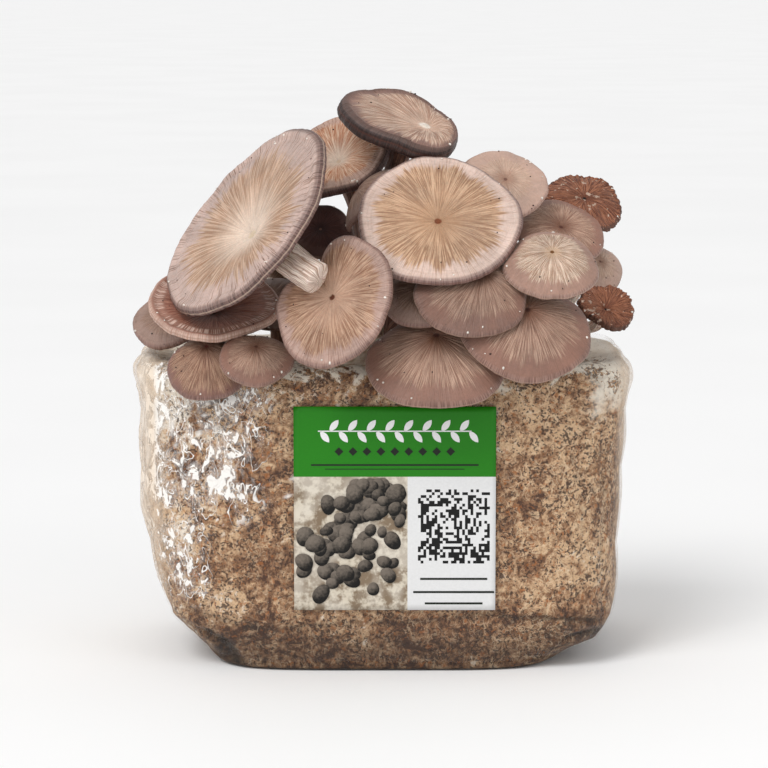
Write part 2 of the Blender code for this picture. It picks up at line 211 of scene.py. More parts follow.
MUSHROOMS = {
    "top": mushroom(
        (8, -8, 237), (56, 54), (42, 62), (6, 9, 6), (14, 10), 10, "crown", umbo=(0.25, 0),
        middle=(0.46, -0.18), lip=1.0, knob=2.0, knob_radius=2.9, shaded=True,
    ),
    "upper_left": mushroom(
        (-21, 2, 221), (52, 48), (-30, 47), (5, 10, 4), (-9, 14), 10, "rusty", lip=0.8, shaded=True
    ),
    "big_left": mushroom(
        (-59, -54, 197), (96, 96), (-60, 37), (6, 9, 4), (-24, -12), 13, "pearl", lip=0.8,
        middle=(0.22, -0.12),
    ),
    "saucer": mushroom((-73, -44, 160), (58, 54), (6, 62), (3, 9, 3), (-64, -17), 9, "maroon", lip=0.7),
    "heart": mushroom(
        (-21, -80, 166), (51, 62), (-14, 28), (5, 5, 3), (-27, -46), 9, "heart", lip=0.3, base=False,
        notch=0.55, notch_at=135,
    ),
    "far_left": mushroom((-93, -20, 150), (37, 35), (-25, 52), (5, 3, 2.5), (-77, -11), 7, "dusk", lip=0.4),
    "low_left": mushroom(
        (-75, -63.5, 133.5), (34, 31), (4, 38), (6, 1, 2), (-74, -46), 4.5, "rosy", umbo=(0, 0.55),
        base=False,
    ),
    "low_left_small": mushroom(
        (-53.5, -69.5, 138.2), (32, 28), (8, 48), (5, 1, 2), (-54, -44), 5, "mauve", umbo=(0, 0.3),
        base=False,
    ),
    "shaded_left": mushroom(
        (-50, -8, 155.5), (30, 28), (-4, 40), (4, 2, 2), (-47, 8), 6, "dusk", base=False, tint=0.8,
        shaded=True,
    ),
    "shaded_centre": mushroom(
        (-27, -14, 188), (28, 28), (-5, 38), (4, 2, 2), (-19, 1), 7, "dark", shaded=True
    ),
    "curled": mushroom(
        (-5, -22, 203), (20, 34), (-84, 37), (8, 1, 2), (4, -8), 6, "dusk", curl=2, shaded=True
    ),
    "centre": mushroom(
        (24, -54, 197), (71, 70), (0, 44), (4, 6, 3), (19, -20), 13, "star", lip=0.5, shaded=True
    ),
    "upper_right": mushroom((54, -12, 209), (39, 39), (12, 46), (5, 2, 2.2), (60, 10), 9, "blush", tint=1.08),
    "dried_top": mushroom(
        (91, 20, 198), (37, 35), (15, 47), (6, 3, 2.5), (77, 19), 8, "dried", lip=0.6, torn=0.05, curl=3
    ),
    "right": mushroom((79, -8, 188), (42, 38), (18, 50), (6, 4, 2.2), (67, -2), 8, "mauve", tint=1.15),
    "front_right": mushroom(
        (72, -64, 178), (41, 35), (5, 43), (8, 2, 2.2), (70, -14), 8, "pale", umbo=(0, 0.15)
    ),
    "small_right": mushroom((96, 0, 171), (26, 26), (30, 42), (5, 1, 2), (80, 7), 6, "blush"),
    "dried_low": mushroom(
        (99, -26, 156), (25, 25), (25, 45), (2, 4, 3), (80, -9), 6, "dried", lip=0.6, torn=0.07, curl=4
    ),
    "low_right": mushroom(
        (62, -70, 149.5), (56, 48), (8, 42), (10, 4, 2.2), (58, -44), 9, "mauve", umbo=(0, 0.35),
        base=False, tint=0.94,
    ),
    "low_centre": mushroom(
        (23, -70, 137), (60, 50), (-2, 46), (9, 4, 2.2), (22, -47), 8, "mauve", umbo=(0, 0.45), base=False
    ),
    "middle": mushroom(
        (38, -70, 166), (48, 43), (3, 41), (6, 3, 2.2), (42, -34), 7, "mauve", umbo=(0.22, 0.5),
        base=False, tint=0.80,
    ),
    "middle_left": mushroom(
        (18, -58, 163), (38, 30), (-5, 46), (5, 2, 2.2), (4, -29), 7, "dusk", umbo=(0, 0.3), shaded=True
    ),
    "back_centre": mushroom(
        (4, 46, 178), (52, 48), (184, 48), (8, 5, 2.5), (3, 22), 10, "star", umbo=(0, 0.2), lip=0.3
    ),
    "back_left": mushroom(
        (-50, 34, 160), (42, 38), (164, 46), (8, 3, 2.2), (-46, 20), 8, "mauve", umbo=(0, 0.3), base=False
    ),
    "back_right": mushroom(
        (48, 44, 164), (44, 40), (196, 44), (8, 3, 2.2), (46, 24), 8, "blush", umbo=(0, 0.3), base=False
    ),
    "back_low": mushroom(
        (-8, 62, 148), (38, 34), (176, 40), (7, 2, 2.2), (-8, 44), 7, "rosy", umbo=(0, 0.4), base=False
    ),
}


def tone(*percents):
    """A colour as seen on a screen, in percent of red, green and blue, in the render's own values."""
    seen = [percent / 100 for percent in percents]
    return tuple(c / 12.92 if c <= 0.04045 else ((c + 0.055) / 1.055) ** 2.4 for c in seen)


# Each tone of a look in order, then what it has unless its row says otherwise: how fine its streaks
# are, how deep they look, where the lip's colour begins, how wide the dot in its middle is, and how
# strong its rim's pale dashes and its flecks are
TONES = ("skin", "streak", "middle", "margin", "lip", "umbo", "gill")
PLAIN_LOOK = dict(fineness=1.0, relief=0.75, lip_from=0.93, umbo_size=0.055, dashes=0, flecks=0)


def palette(*tones, **others):
    """A look: its tones, how far out its star of streaks reaches and how ragged the star's end is,
    how hairy its rim is, and how wide its middle's tone spreads.
    """
    shades = {key: tone(*seen) for key, seen in zip(TONES, tones)}
    return SimpleNamespace(**dict(PLAIN_LOOK, **shades, **others))


# Darker in part as painted shade: the crown and mauve margin tones, for rims that turn down, and the crown,
# rusty and star gill tones, for gills that lie in shade
LOOKS = {
    "star": palette(
        (60, 45, 34), (80, 66, 54), (74, 58, 45), (83, 73, 68), (56, 45, 42), (55, 30, 16), (46, 30, 24),
        reach=0.78, ragged=0.36, hairs=0.1, core=0.5,
    ),
    "pearl": palette(
        (61, 47, 37), (78, 66, 57), (92, 84, 77), (76, 66, 62), (46, 35, 32), (88, 79, 68), (80, 70, 62),
        reach=0.72, ragged=0.55, hairs=0.8, core=0.55,
    ),
    "rusty": palette(
        (66, 41, 26), (86, 74, 64), (92, 85, 78), (72, 60, 54), (42, 32, 30), (86, 76, 66), (38, 22, 17),
        reach=0.78, ragged=0.30, hairs=0.8, core=0.45,
    ),
    "heart": palette(
        (55, 39, 29), (76, 62, 52), (78, 64, 55), (70, 58, 53), (60, 48, 44), (42, 22, 13), (62, 48, 40),
        reach=0.80, ragged=0.26, hairs=0.7, core=0.62,
    ),
    "crown": palette(
        (62, 47, 39), (84, 73, 65), (82, 70, 62), (54, 42, 38), (25, 16, 14), (93, 88, 82), (34, 18, 13),
        reach=0.80, ragged=0.34, hairs=0.7, core=0.45, lip_from=0.86, umbo_size=0.12,
    ),
    "maroon": palette(
        (52, 31, 24), (72, 51, 43), (36, 17, 12), (60, 42, 35), (80, 68, 62), (34, 16, 12), (60, 46, 39),
        reach=0.76, ragged=0.30, hairs=0.9, core=0.75, dashes=0.9,
    ),
    "dusk": palette(
        (54, 42, 36), (67, 55, 48), (50, 37, 31), (62, 51, 46), (60, 48, 44), (40, 26, 21), (60, 47, 40),
        reach=0.70, ragged=0.30, hairs=0.5, core=0.4,
    ),
    "mauve": palette(
        (50, 36, 29), (73, 60, 52), (42, 26, 18), (55, 40, 34), (60, 47, 42), (32, 16, 11), (72, 60, 52),
        reach=0.76, ragged=0.40, hairs=0.1, core=0.5, fineness=1.7, relief=0.6,
    ),
    "rosy": palette(
        (44, 29, 22), (72, 58, 48), (36, 20, 13), (53, 38, 33), (58, 45, 41), (36, 9, 6), (72, 60, 52),
        reach=0.88, ragged=0.40, hairs=0.1, core=0.5, fineness=1.7, relief=0.6,
    ),
    "pale": palette(
        (62, 48, 39), (90, 81, 73), (82, 69, 57), (66, 52, 46), (68, 56, 51), (48, 30, 12), (76, 65, 57),
        reach=0.74, ragged=0.36, hairs=0.1, core=0.3, fineness=1.5, relief=0.7,
    ),
    "blush": palette(
        (68, 55, 48), (79, 68, 60), (62, 47, 39), (72, 60, 54), (70, 58, 53), (45, 30, 24), (76, 65, 57),
        reach=0.62, ragged=0.40, hairs=0.2, core=0.4, fineness=1.5, relief=0.5,
    ),
    # Painted shadow: a near-black look for the cap deep in the cluster's shade
    "dark": palette(
        (24, 12, 10), (34, 19, 16), (18, 8, 7), (36, 24, 21), (58, 47, 41), (50, 38, 33), (38, 22, 17),
        reach=0.70, ragged=0.30, hairs=0.4, core=0.4,
    ),
    "dried": palette(
        (38, 18, 10), (70, 46, 33), (46, 25, 16), (44, 25, 17), (42, 27, 20), (10, 6, 5), (46, 30, 24),
        reach=0.98, ragged=0.40, hairs=0.5, core=0.3, flecks=0.8, relief=1.0,
    ),
}

# Pale drops near the caps' rims and dark specks over them: the smallest and largest, how many there
# are for each 10 mm of cap, the share of the cap from which they lie, their colour and roughness
SPECKS = {
    "pale_drops": dict(sizes=(0.35, 0.75), each=1.3, low=0.8, colour=(95, 92, 88), roughness=0.25),
    "dark_specks": dict(sizes=(0.2, 0.5), each=1.6, low=0.25, colour=(20, 12, 9), roughness=0.7),
}


def lattice(cells, seed):
    """An even random value from -1 to 1 for each whole-number cell."""
    mixed = cells[..., 0] * 73856093 ^ cells[..., 1] * 19349663 ^ cells[..., 2] * 83492791
    mixed = mixed ^ (seed + 1) * 40503
    mixed = (mixed ^ (mixed >> 13)) * 1274126177 & 0xFFFFFFFF
    mixed = (mixed ^ (mixed >> 16)) * 668265263 & 0xFFFFFFFF
    return (mixed ^ (mixed >> 15)) / 0x7FFFFFFF - 1


def noise(points, seed=0):
    """Smooth noise from about -1 to 1, with one feature to a unit of the points."""
    points = np.asarray(points, float)
    cells = np.floor(points).astype(np.int64)
    part = points - cells
    part = part * part * (3 - 2 * part)
    total = np.zeros(points.shape[:-1])
    for corner in product((0, 1), repeat=3):
        weight = np.prod(np.where(corner, part, 1 - part), axis=-1)
        total += weight * lattice(cells + np.array(corner), seed)
    return total


def fractal(points, octaves, seed=0):
    """Noise with finer and fainter copies of itself."""
    points = np.asarray(points, float)
    return sum(noise(points * 2**i, seed + i) / 2**i for i in range(octaves))


def step(low, high, value):
    """0 below low, 1 above high, smooth between. It falls where low is above high."""
    share = np.clip((np.asarray(value, float) - low) / (high - low), 0, 1)
    return share * share * (3 - 2 * share)


def hump(value, middle, width):
    """1 at the middle, falling off on both sides of it."""
    return np.exp(-(((value - middle) / width) ** 2))


def stack(*parts):
    return np.stack(np.broadcast_arrays(*parts), axis=-1)


def circle(count):
    """Angles evenly round a circle, with their cosines and sines."""
    angle = np.arange(count) * TURN / count
    return angle, np.cos(angle), np.sin(angle)


def curve(a, b, c, d, count):
    """Points along a smooth curve from a to d that b and c guide."""
    t = np.linspace(0, 1, count)[:, None]
    return a * (1 - t) ** 3 + b * 3 * t * (1 - t) ** 2 + c * 3 * t * t * (1 - t) + d * t**3


def grid_faces(rows, columns, wrap):
    """Quads over a grid of points that is rows by columns, closed round its columns if it wraps."""
    row, column = np.arange(rows - 1)[:, None], np.arange(columns if wrap else columns - 1)
    here, after = row * columns + column, row * columns + (column + 1) % columns
    return stack(here, after, after + columns, here + columns).reshape(-1, 4)


def closed_faces(rows, columns):
    """Faces of a wrapped grid that runs downward between a first and a last point of its own: the
    quads, then the triangles at its first end, then those at its last.
    """
    here, last = np.arange(columns), rows * columns + 1
    after = (here + 1) % columns
    first_end = stack(here + 1, after + 1, 0)
    last_end = stack(after, here, columns) + last - columns
    quads = grid_faces(rows, columns, wrap=True)[:, ::-1] + 1
    return quads.tolist() + first_end.tolist() + last_end.tolist()


def add_mesh(name, points, faces, materials, slots=None):
    """A smooth mesh object from points in mm and lists of faces."""
    mesh = bpy.data.meshes.new(name)
    mesh.from_pydata((np.asarray(points) * MM).tolist(), [], [list(map(int, f)) for f in faces])
    for material in materials:
        mesh.materials.append(material)
    if slots is not None:
        mesh.polygons.foreach_set("material_index", np.asarray(slots, np.int32))
    mesh.polygons.foreach_set("use_smooth", [True] * len(mesh.polygons))
    mesh.update()
    obj = bpy.data.objects.new(name, mesh)
    bpy.context.scene.collection.objects.link(obj)
    return obj


def add_attribute(obj, name, values):
    """Stores a vector for each point, for the material to read."""
    attribute = obj.data.attributes.new(name, "FLOAT_VECTOR", "POINT")
    attribute.data.foreach_set("vector", np.asarray(values, np.float32).reshape(-1))


def place(obj, body_slot, *nodes):
    """Every piece rides on the one body and stands for its nodes; its body slot is not used."""
    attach(obj, "root")
    if nodes:
        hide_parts(*nodes)


class Value:
    """What a node gives out, as a number or a vector. Arithmetic on it adds the nodes for it."""

    def __init__(self, nodes, socket):
        self.nodes = nodes
        self.socket = socket

    def worked(self, operation, other):
        kind = "Math" if self.socket.type == "VALUE" else "VectorMath"
        return self.nodes.add(kind, self, other, operation=operation)

    def __add__(self, other):
        return self.worked("ADD", other)

    def __sub__(self, other):
        return self.worked("SUBTRACT", other)

    def __mul__(self, other):
        return self.worked("MULTIPLY", other)

    def __abs__(self):
        return self.worked("ABSOLUTE", None)


class Nodes:
    """A short way to write a material's node tree."""

    def __init__(self, name):
        self.material = bpy.data.materials.new(name)
        self.material.use_nodes = True
        self.tree = self.material.node_tree
        self.shader = self.tree.nodes["Principled BSDF"]

    def put(self, node, socket, value):
        if isinstance(value, Value):
            self.tree.links.new(value.socket, node.inputs[socket])
        elif isinstance(value, tuple) and node.inputs[socket].type == "RGBA":
            node.inputs[socket].default_value = (*value, 1.0)
        elif value is not None:
            node.inputs[socket].default_value = value

    def fill(self, node, named):
        """Names that start with a capital are a node's sockets, and the others its settings."""
        for name, value in named.items():
            if name[0].isupper():
                self.put(node, name.replace("_", " "), value)
            else:
                setattr(node, name, value)

    def set(self, **named):
        self.fill(self.shader, named)

    def add(self, kind, *values, output=0, **named):
        """The output of a new node, with values for its first sockets in order."""
        node = self.tree.nodes.new("ShaderNode" + kind)
        self.fill(node, named)
        for socket, value in enumerate(values):
            self.put(node, socket, value)
        return Value(self, node.outputs[output])

    def attribute(self, name):
        return self.add("Attribute", attribute_name=name, output="Vector")

    def where(self):
        return self.add("TexCoord", output="Object")

    def split(self, vector):
        return [self.add("SeparateXYZ", vector, output=axis) for axis in range(3)]

    def least(self, *values):
        return reduce(lambda a, b: a.worked("MINIMUM", b), values)

    def most(self, *values):
        return reduce(lambda a, b: a.worked("MAXIMUM", b), values)

    def noise(self, vector, scale=1.0, detail=3.0, roughness=0.55, distortion=0.0, output=0):
        fineness = dict(Scale=scale, Detail=detail, Roughness=roughness)
        return self.add("TexNoise", vector, Distortion=distortion, output=output, **fineness)

    def warped(self, vector, scale, amount):
        """The vector, pushed about by noise."""
        push = self.noise(vector, scale, 2.0, 0.5, output="Color")
        return vector + (push - (0.5, 0.5, 0.5)) * (amount, amount, amount)

    def lines(self, level, wide, narrow):
        """Thin lines where a noise crosses its middle level."""
        return self.range(abs(level - 0.5), wide, narrow)

    def range(self, value, low, high, to_low=0.0, to_high=1.0):
        """A smooth step from one value at low to another at high."""
        return self.add("MapRange", value, low, high, to_low, to_high, interpolation_type="SMOOTHSTEP")

    def mix(self, share, a, b, blend="MIX"):
        unused = [None] * 5
        return self.add("Mix", share, *unused, a, b, output=2, data_type="RGBA", blend_type=blend)

    def between(self, share, a, b):
        """The value that share of the way from a to b gives."""
        return self.add("Mix", share, None, a, b)

    def dimmed(self, colour, red, green, blue):
        return self.mix(1.0, colour, self.add("CombineXYZ", red, green, blue), "MULTIPLY")

    def bump(self, height, distance, strength=1.0):
        return self.add("Bump", Height=height, Distance=distance, Strength=strength)


def skin_material(name, look, seed, tint):
    """A cap's upper skin: light streaks run out from the middle and end in a ragged star."""
    n = Nodes(name)
    ray = n.attribute("ray")
    share = n.split(ray)[2]
    lip = n.split(n.attribute("relief"))[1]

    def rays(around, outward, wave=0.0):
        """Noise in streaks: how fine round the cap, and how often it changes on the way out."""
        at = ray * (around, around, outward) + (seed * 3.1, seed * 1.7, 0.0)
        return n.noise(at, 1.0, 2.0, 0.55, wave)

    inner, middle = rays(10.0, 1.2), rays(24.0 * look.fineness, 1.8, 0.5)
    fibre = n.between(n.range(share, 0.08, 0.24), inner, middle)
    fibre = n.between(n.range(share, 0.25, 0.6), fibre, rays(50.0 * look.fineness, 3.0, 0.7))
    hair = rays(90.0, 3.0)
    spikes = rays(26.0, 0.4) * look.ragged + rays(2.5, 0.3) * 0.3
    border = spikes + (look.reach - 0.15 - 0.5 * look.ragged)
    star = n.range(share - border, 0.05, -0.05)
    where = n.where()
    mottle = n.noise(where, 70.0, 4.0)
    fine = n.noise(where, 900.0)

    streaked = n.mix(n.range(fibre, 0.40, 0.60), look.skin, look.streak)
    streaked = n.mix(n.range(share, look.core, 0.0, 0.0, 0.9), streaked, look.middle)
    ends = star * n.range(share, 0.35, 0.7, 0.0, 0.5) * n.range(fibre, 0.55, 0.42)
    streaked = n.mix(ends, streaked, look.skin)
    rings = n.noise(ray * (1.6, 1.6, 40.0), 1.0, 2.0)
    margin = n.mix(n.range(rings, 0.5, 0.62, 0.0, 0.14), look.margin, look.skin)
    colour = n.mix(star, margin, streaked)
    dark_hairs = n.range(hair, 0.54, 0.62) * n.range(share, 0.62, 0.95) * look.hairs
    colour = n.mix(dark_hairs, colour, n.mix(0.5, look.lip, look.skin, "MULTIPLY"))
    colour = n.mix(n.range(hair, 0.52, 0.66) * 0.32, colour, look.skin)
    if look.dashes:
        band = n.range(share, 0.74, 0.80) * n.range(share, 0.93, 0.89)
        dashes = n.range(rays(38.0, 0.3), 0.50, 0.58) * band * look.dashes
        colour = n.mix(dashes, colour, tone(86, 74, 68))
    ticks = n.range(rays(60.0, 0.0), 0.42, 0.6, 0.0, 0.8)
    lip_colour = n.mix(ticks, look.lip, n.mix(0.85, look.lip, look.lip, "MULTIPLY"))
    # Painted shade: the groove of the rolled lip takes the gills' darker tone
    groove = n.range(lip, 0.34, 0.42) * n.range(lip, 0.5, 0.42) * 0.6
    lip_colour = n.mix(groove, lip_colour, look.gill)
    at_lip = n.most(n.range(lip, 0.02, 0.2), n.range(share, look.lip_from, 0.965, 0.0, 0.7))
    colour = n.mix(at_lip, colour, lip_colour)
    colour = n.mix(n.range(share, look.umbo_size, 0.6 * look.umbo_size), colour, look.umbo)
    if look.flecks:
        pale = n.range(n.noise(where, 380.0), 0.62, 0.68, 0.0, look.flecks)
        colour = n.mix(pale, colour, tone(86, 76, 68))
    shade = n.range(mottle, 0.3, 0.7, 0.86 * tint, 1.1 * tint) + n.range(fine, 0.35, 0.65, -0.04, 0.05)
    n.set(Base_Color=n.dimmed(colour, shade, shade, shade), Roughness=n.range(mottle, 0.3, 0.7, 0.40, 0.58))
    n.set(Subsurface_Weight=0.08, Subsurface_Scale=0.002, Subsurface_Radius=(1.0, 0.5, 0.35))
    n.set(Normal=n.bump(fibre * 0.7 + hair * 0.3 + fine * 0.08, 0.0008, look.relief))
    return n.material


def gill_material(name, look, seed):
    """Under the cap: gills, with painted shade on the bottoms between them."""
    n = Nodes(name)
    depth = n.split(n.attribute("relief"))[0]
    mottle = n.noise(n.where(), 160.0)
    colour = n.mix(depth, tuple(0.4 * value for value in look.gill), look.gill)
    colour = n.mix(0.4, colour, n.range(mottle, 0.3, 0.7, 0.8, 1.15), "MULTIPLY")
    n.set(Base_Color=colour, Roughness=0.65, Subsurface_Weight=0.08, Subsurface_Scale=0.002)
    grain = n.noise(n.attribute("ray") * (60.0, 60.0, 8.0), float(1 + seed % 2))
    n.set(Normal=n.bump(grain, 0.0003, 0.5))
    return n.material


def stem_material(name, low, high):
    """Stem flesh with grooves along it."""
    n = Nodes(name)
    fibre = n.noise(n.attribute("grain") * (9.0, 9.0, 60.0), 1.0, 4.0, 0.6)
    spots = n.noise(n.where(), 300.0)
    colour = n.mix(n.range(fibre, 0.35, 0.62), low, high)
    colour = n.mix(n.range(spots, 0.62, 0.75, 0.0, 0.5), colour, tone(50, 33, 22))
    n.set(Base_Color=colour, Roughness=0.6, Subsurface_Weight=0.1, Subsurface_Scale=0.002)
    n.set(Normal=n.bump(fibre + spots * 0.3, 0.0008, 0.8))
    return n.material


def tissue_material():
    """The lumps' fused tissue: pale and pitted, with tan crumbs."""
    n = Nodes("fused_tissue")
    coarse = n.noise(n.where(), 120.0, 4.0)
    fine = n.noise(n.where(), 900.0)
    colour = n.mix(n.range(coarse, 0.35, 0.7), tone(72, 60, 48), tone(93, 90, 84))
    colour = n.mix(n.range(fine, 0.6, 0.72, 0.0, 0.5), colour, tone(55, 40, 28))
    n.set(Base_Color=colour, Roughness=0.8, Subsurface_Weight=0.1, Subsurface_Scale=0.002)
    n.set(Normal=n.bump(coarse + fine * 0.4, 0.0012, 0.8))
    return n.material


def rim_reach(angle, spec):
    """The rim's distance from its centre along X and Y, at each angle."""
    width, length = spec.size
    waves = 1 + RIM_WAVES[0] * np.sin(3 * angle + width) + RIM_WAVES[1] * np.sin(5 * angle + length)
    apart = (angle - math.radians(spec.notch_at) + math.pi) % TURN - math.pi
    reach = 0.5 * waves * (1 - spec.notch * hump(apart, 0, NOTCH_WIDTH))
    return width * reach * np.cos(angle), length * reach * np.sin(angle)


def cap_height(share, spec):
    share = np.asarray(share, float)
    return spec.dome * (1 - share**2) - spec.cup * np.clip(1 - share, 0, None) ** CUP_POWER


def neck_of(spec):
    """The middle of the cap's neck in the cap's own frame, and the neck's radius."""
    radius = spec.stem / 2
    across, uphill = (share * size / 2 for share, size in zip(spec.umbo, spec.size))
    drop = cap_height(0, spec) - MIDDLE_THICKNESS - NECK_DEPTH * radius
    return np.array([across, uphill, drop]), radius


def cap_axes(spec):
    """The cap's own X (across), Y (uphill) and Z (out of the cap), as rows."""
    turn, lift = (math.radians(angle) for angle in spec.faces)
    normal = np.array([math.sin(turn) * math.cos(lift), -math.cos(turn) * math.cos(lift), math.sin(lift)])
    across = np.array([math.cos(turn), math.sin(turn), 0.0])
    return np.array([across, np.cross(normal, across), normal])


def in_place(points, spec):
    """Points of a cap's own frame, in the frame of the whole object."""
    return points @ cap_axes(spec) + np.array(spec.centre, float)


def under_depth(share, spec):
    """How far the gills' edges lie below the cap's top."""
    rim = spec.rim
    return np.interp(share, (NECK_FROM, 0.7, 0.96, 1.0), (MIDDLE_THICKNESS, 1.1 * rim, 1.0 * rim, 0.5 * rim))


def make_cap(name, spec, seed):
    """A cap with ridges on top, a rolled lip and gills below. Gives its upper points back."""
    widest = max(spec.size)
    gills = int(np.interp(widest, (25, 100), (44, 104)))
    rings = int(np.interp(widest, (25, 100), (20, 44)))
    columns = 4 * gills
    angle, cosine, sine = circle(columns)
    rim_x, rim_y = rim_reach(angle, spec)
    lip, rim = spec.lip, spec.rim
    neck, neck_radius = neck_of(spec)
    middle = 0.5 * np.array(spec.middle or spec.umbo) * spec.size
    rows, rays, reliefs = [], [], []

    def around(fineness, shift, height=seed):
        """Noise round the cap."""
        return noise(stack(cosine * fineness, sine * fineness, height), seed + shift)

    ragged = 1 + 0.010 * around(4, 0) + spec.torn * around(16, 3)
    sway = spec.curl * widest * (0.022 * around(1.4, 7) + 0.007 * around(4, 8))
    ticks = around(30, 5)

    def broad_streaks(share):
        """Ridges that keep their width as they spread: finer ones take over further out."""
        streak = 0
        for fineness, low, high in ((9, -1, 0.16), (18, 0.16, 0.42), (36, 0.42, 2)):
            here = step(low - 0.08, low + 0.08, share) * step(high + 0.08, high - 0.08, share)
            streak = streak + here * around(fineness, 0, share * 2 + seed)
        return streak

    def add_row(share, drop, gill=1.0, turned=0.0):
        """One ring of points at a share of the way to the rim, drop mm below the cap's top."""
        start = neck[:2] + (middle - neck[:2]) * (1 - turned)
        x = start[0] + (rim_x * ragged - start[0]) * share
        y = start[1] + (rim_y * ragged - start[1]) * share
        rows.append(stack(x, y, cap_height(share, spec) - drop + sway * step(0.5, 1.0, share)))
        rays.append(stack(cosine, sine, np.minimum(share, 1.0)))
        reliefs.append(stack(gill + 0 * angle, turned, 0.0))

    for share in (np.linspace(0.0, 1.0, rings) ** 0.9 * ROLL_FROM)[1:]:
        inner = step(0.03, 0.15, share) * step(0.98, 0.6, share)
        drop = 0.16 * lip * step(0.75, 0.95, share) * ticks - 0.26 * inner * broad_streaks(share)
        drop = drop + lip * (0.5 * hump(share, 0.86, 0.03) - 0.8 * hump(share, 0.93, 0.03))
        add_row(share, drop - spec.knob * hump(share * 0.5 * widest, 0, spec.knob_radius))
    top = len(rows)
    for turned in ROLL_TURNS:
        roll = turned * math.pi
        sides = (0.12 + 0.3 * lip) * ticks * math.sin(roll)
        inward = (0.35 * lip * hump(turned, 0.42, 0.06) + 0.5 * sides) / (0.5 * widest)
        add_row(ROLL_FROM + 0.045 * math.sin(roll) - inward, 0.5 * rim * (1 - math.cos(roll)), turned=turned)
    under = len(rows)
    blade = np.tile([1.0, 0.2, 0.0, 0.2], gills)
    is_short = np.repeat(np.arange(gills) % 2, 4)
    for share in UNDER_SHARES:
        drop = under_depth(share, spec)
        depth = min(0.5 * drop, 2.2) * step(0.985, 0.93, share)
        height = blade * (1 - is_short * step(0.72, 0.6, share))
        add_row(share, drop - depth * (1 - height), gill=height, turned=1.0)
    start = rows[-1]
    last_height = blade * (1 - is_short)
    ring = neck + neck_radius * stack(cosine, sine, 0 * angle)
    for t in np.arange(1, NECK_STEPS + 1) / NECK_STEPS:
        bend = stack(t**0.6, t**0.6, t)
        rows.append(start * (1 - bend) + ring * bend)
        rays.append(stack(cosine, sine, NECK_FROM * (1 - t)))
        reliefs.append(stack(last_height * (1 - 0.6 * t) + 0.6 * t, 1.0, 0.0))

    points = np.concatenate([[[*middle, cap_height(0, spec) + spec.knob]], *rows, [neck]])
    above, below = (under - 1) * columns, (len(rows) - under) * columns
    slots = [0] * above + [1] * below + [0] * columns + [1] * columns
    look = LOOKS[spec.look]
    skin = skin_material("skin_" + name, look, seed, spec.tint)
    gills_below = gill_material("gills_" + name, look, seed)
    faces = closed_faces(len(rows), columns)
    obj = add_mesh("cap_" + name + "_flesh", in_place(points, spec), faces, [skin, gills_below], slots)
    centre_ray, plain = [[0.0, 0.0, 0.0]], [[1.0, 0.0, 0.0]]
    add_attribute(obj, "ray", np.concatenate([centre_ray, *rays, centre_ray]))
    add_attribute(obj, "relief", np.concatenate([plain, *reliefs, plain]))
    place(obj, "dried_cap" if spec.look == "dried" else "cap_skin", "cap_" + name)
    return in_place(np.array(rows[:top]), spec)


def add_blobs(name, places, sizes, material, rng):
    """Small uneven blobs joined in one piece, each from a solid of 12 corners and 20 sides."""
    golden = (1 + 5**0.5) / 2
    signs = list(product((1, -1), (-1, 1)))
    corners = np.array([np.roll((s, u * golden, 0), turn) for turn in range(3) for u, s in signs])
    corners = corners / math.hypot(1, golden)
    sides = []
    for side in combinations(range(12), 3):
        a, b, c = corners[list(side)]
        if min(a @ b, b @ c, c @ a) > 0:
            sides.append(side if np.cross(b - a, c - a) @ a > 0 else side[::-1])
    points, faces = [], []
    for index, (at, size) in enumerate(zip(places, sizes)):
        shape = corners * (1 + 0.25 * rng.uniform(-1, 1, (12, 1))) * rng.uniform(0.6, 1.2, 3)
        points.append(at + size * shape)
        faces.append(np.array(sides) + 12 * index)
    place(add_mesh(name, np.concatenate(points), np.concatenate(faces), [material]), "cap_skin")


def speck_material(name, colour, roughness):
    n = Nodes(name)
    mottle = n.noise(n.where(), 700.0, 2.0)
    base = tone(*colour)
    n.set(Base_Color=n.mix(n.range(mottle, 0.35, 0.65), tuple(0.7 * c for c in base), base))
    n.set(Roughness=roughness)
    return n.material


def make_specks(tops):
    """Pale drops along the caps' rims and dark specks over them."""
    rng = np.random.default_rng(5)
    places = {key: [] for key in SPECKS}
    for name, top in tops.items():
        for key, kind in SPECKS.items():
            for _ in range(int(kind["each"] * max(MUSHROOMS[name].size) / 10)):
                row = int(len(top) * rng.uniform(kind["low"], 1) ** 0.5)
                places[key].append(top[min(row, len(top) - 1), rng.integers(top.shape[1])])
    for key, kind in SPECKS.items():
        sizes = rng.uniform(*kind["sizes"], len(places[key]))
        add_blobs(key, places[key], sizes, speck_material(key, kind["colour"], kind["roughness"]), rng)


def stem_line(spec, count):
    """Points along a stem's middle, and its radius at each."""
    neck, radius = neck_of(spec)
    out = -cap_axes(spec)[2]
    start = in_place(neck, spec) - out * 1.0
    foot = np.array([*spec.foot, BLOCK_TOP + (BASE_HEIGHT - 1.0 if spec.base else -0.5)])
    reach = BEND_REACH * np.linalg.norm(foot - start)
    first = start + out * STRAIGHT_END
    last = foot + np.array([0, 0, STRAIGHT_END])
    bent = curve(first, first + out * reach, last + np.array([0, 0, reach]), last, count)
    line = np.concatenate([[start], bent, [foot]])
    share = np.linspace(0, 1, len(line))
    return line, radius * (1 + FOOT_SWELL * share - WAIST * np.sin(math.pi * share))


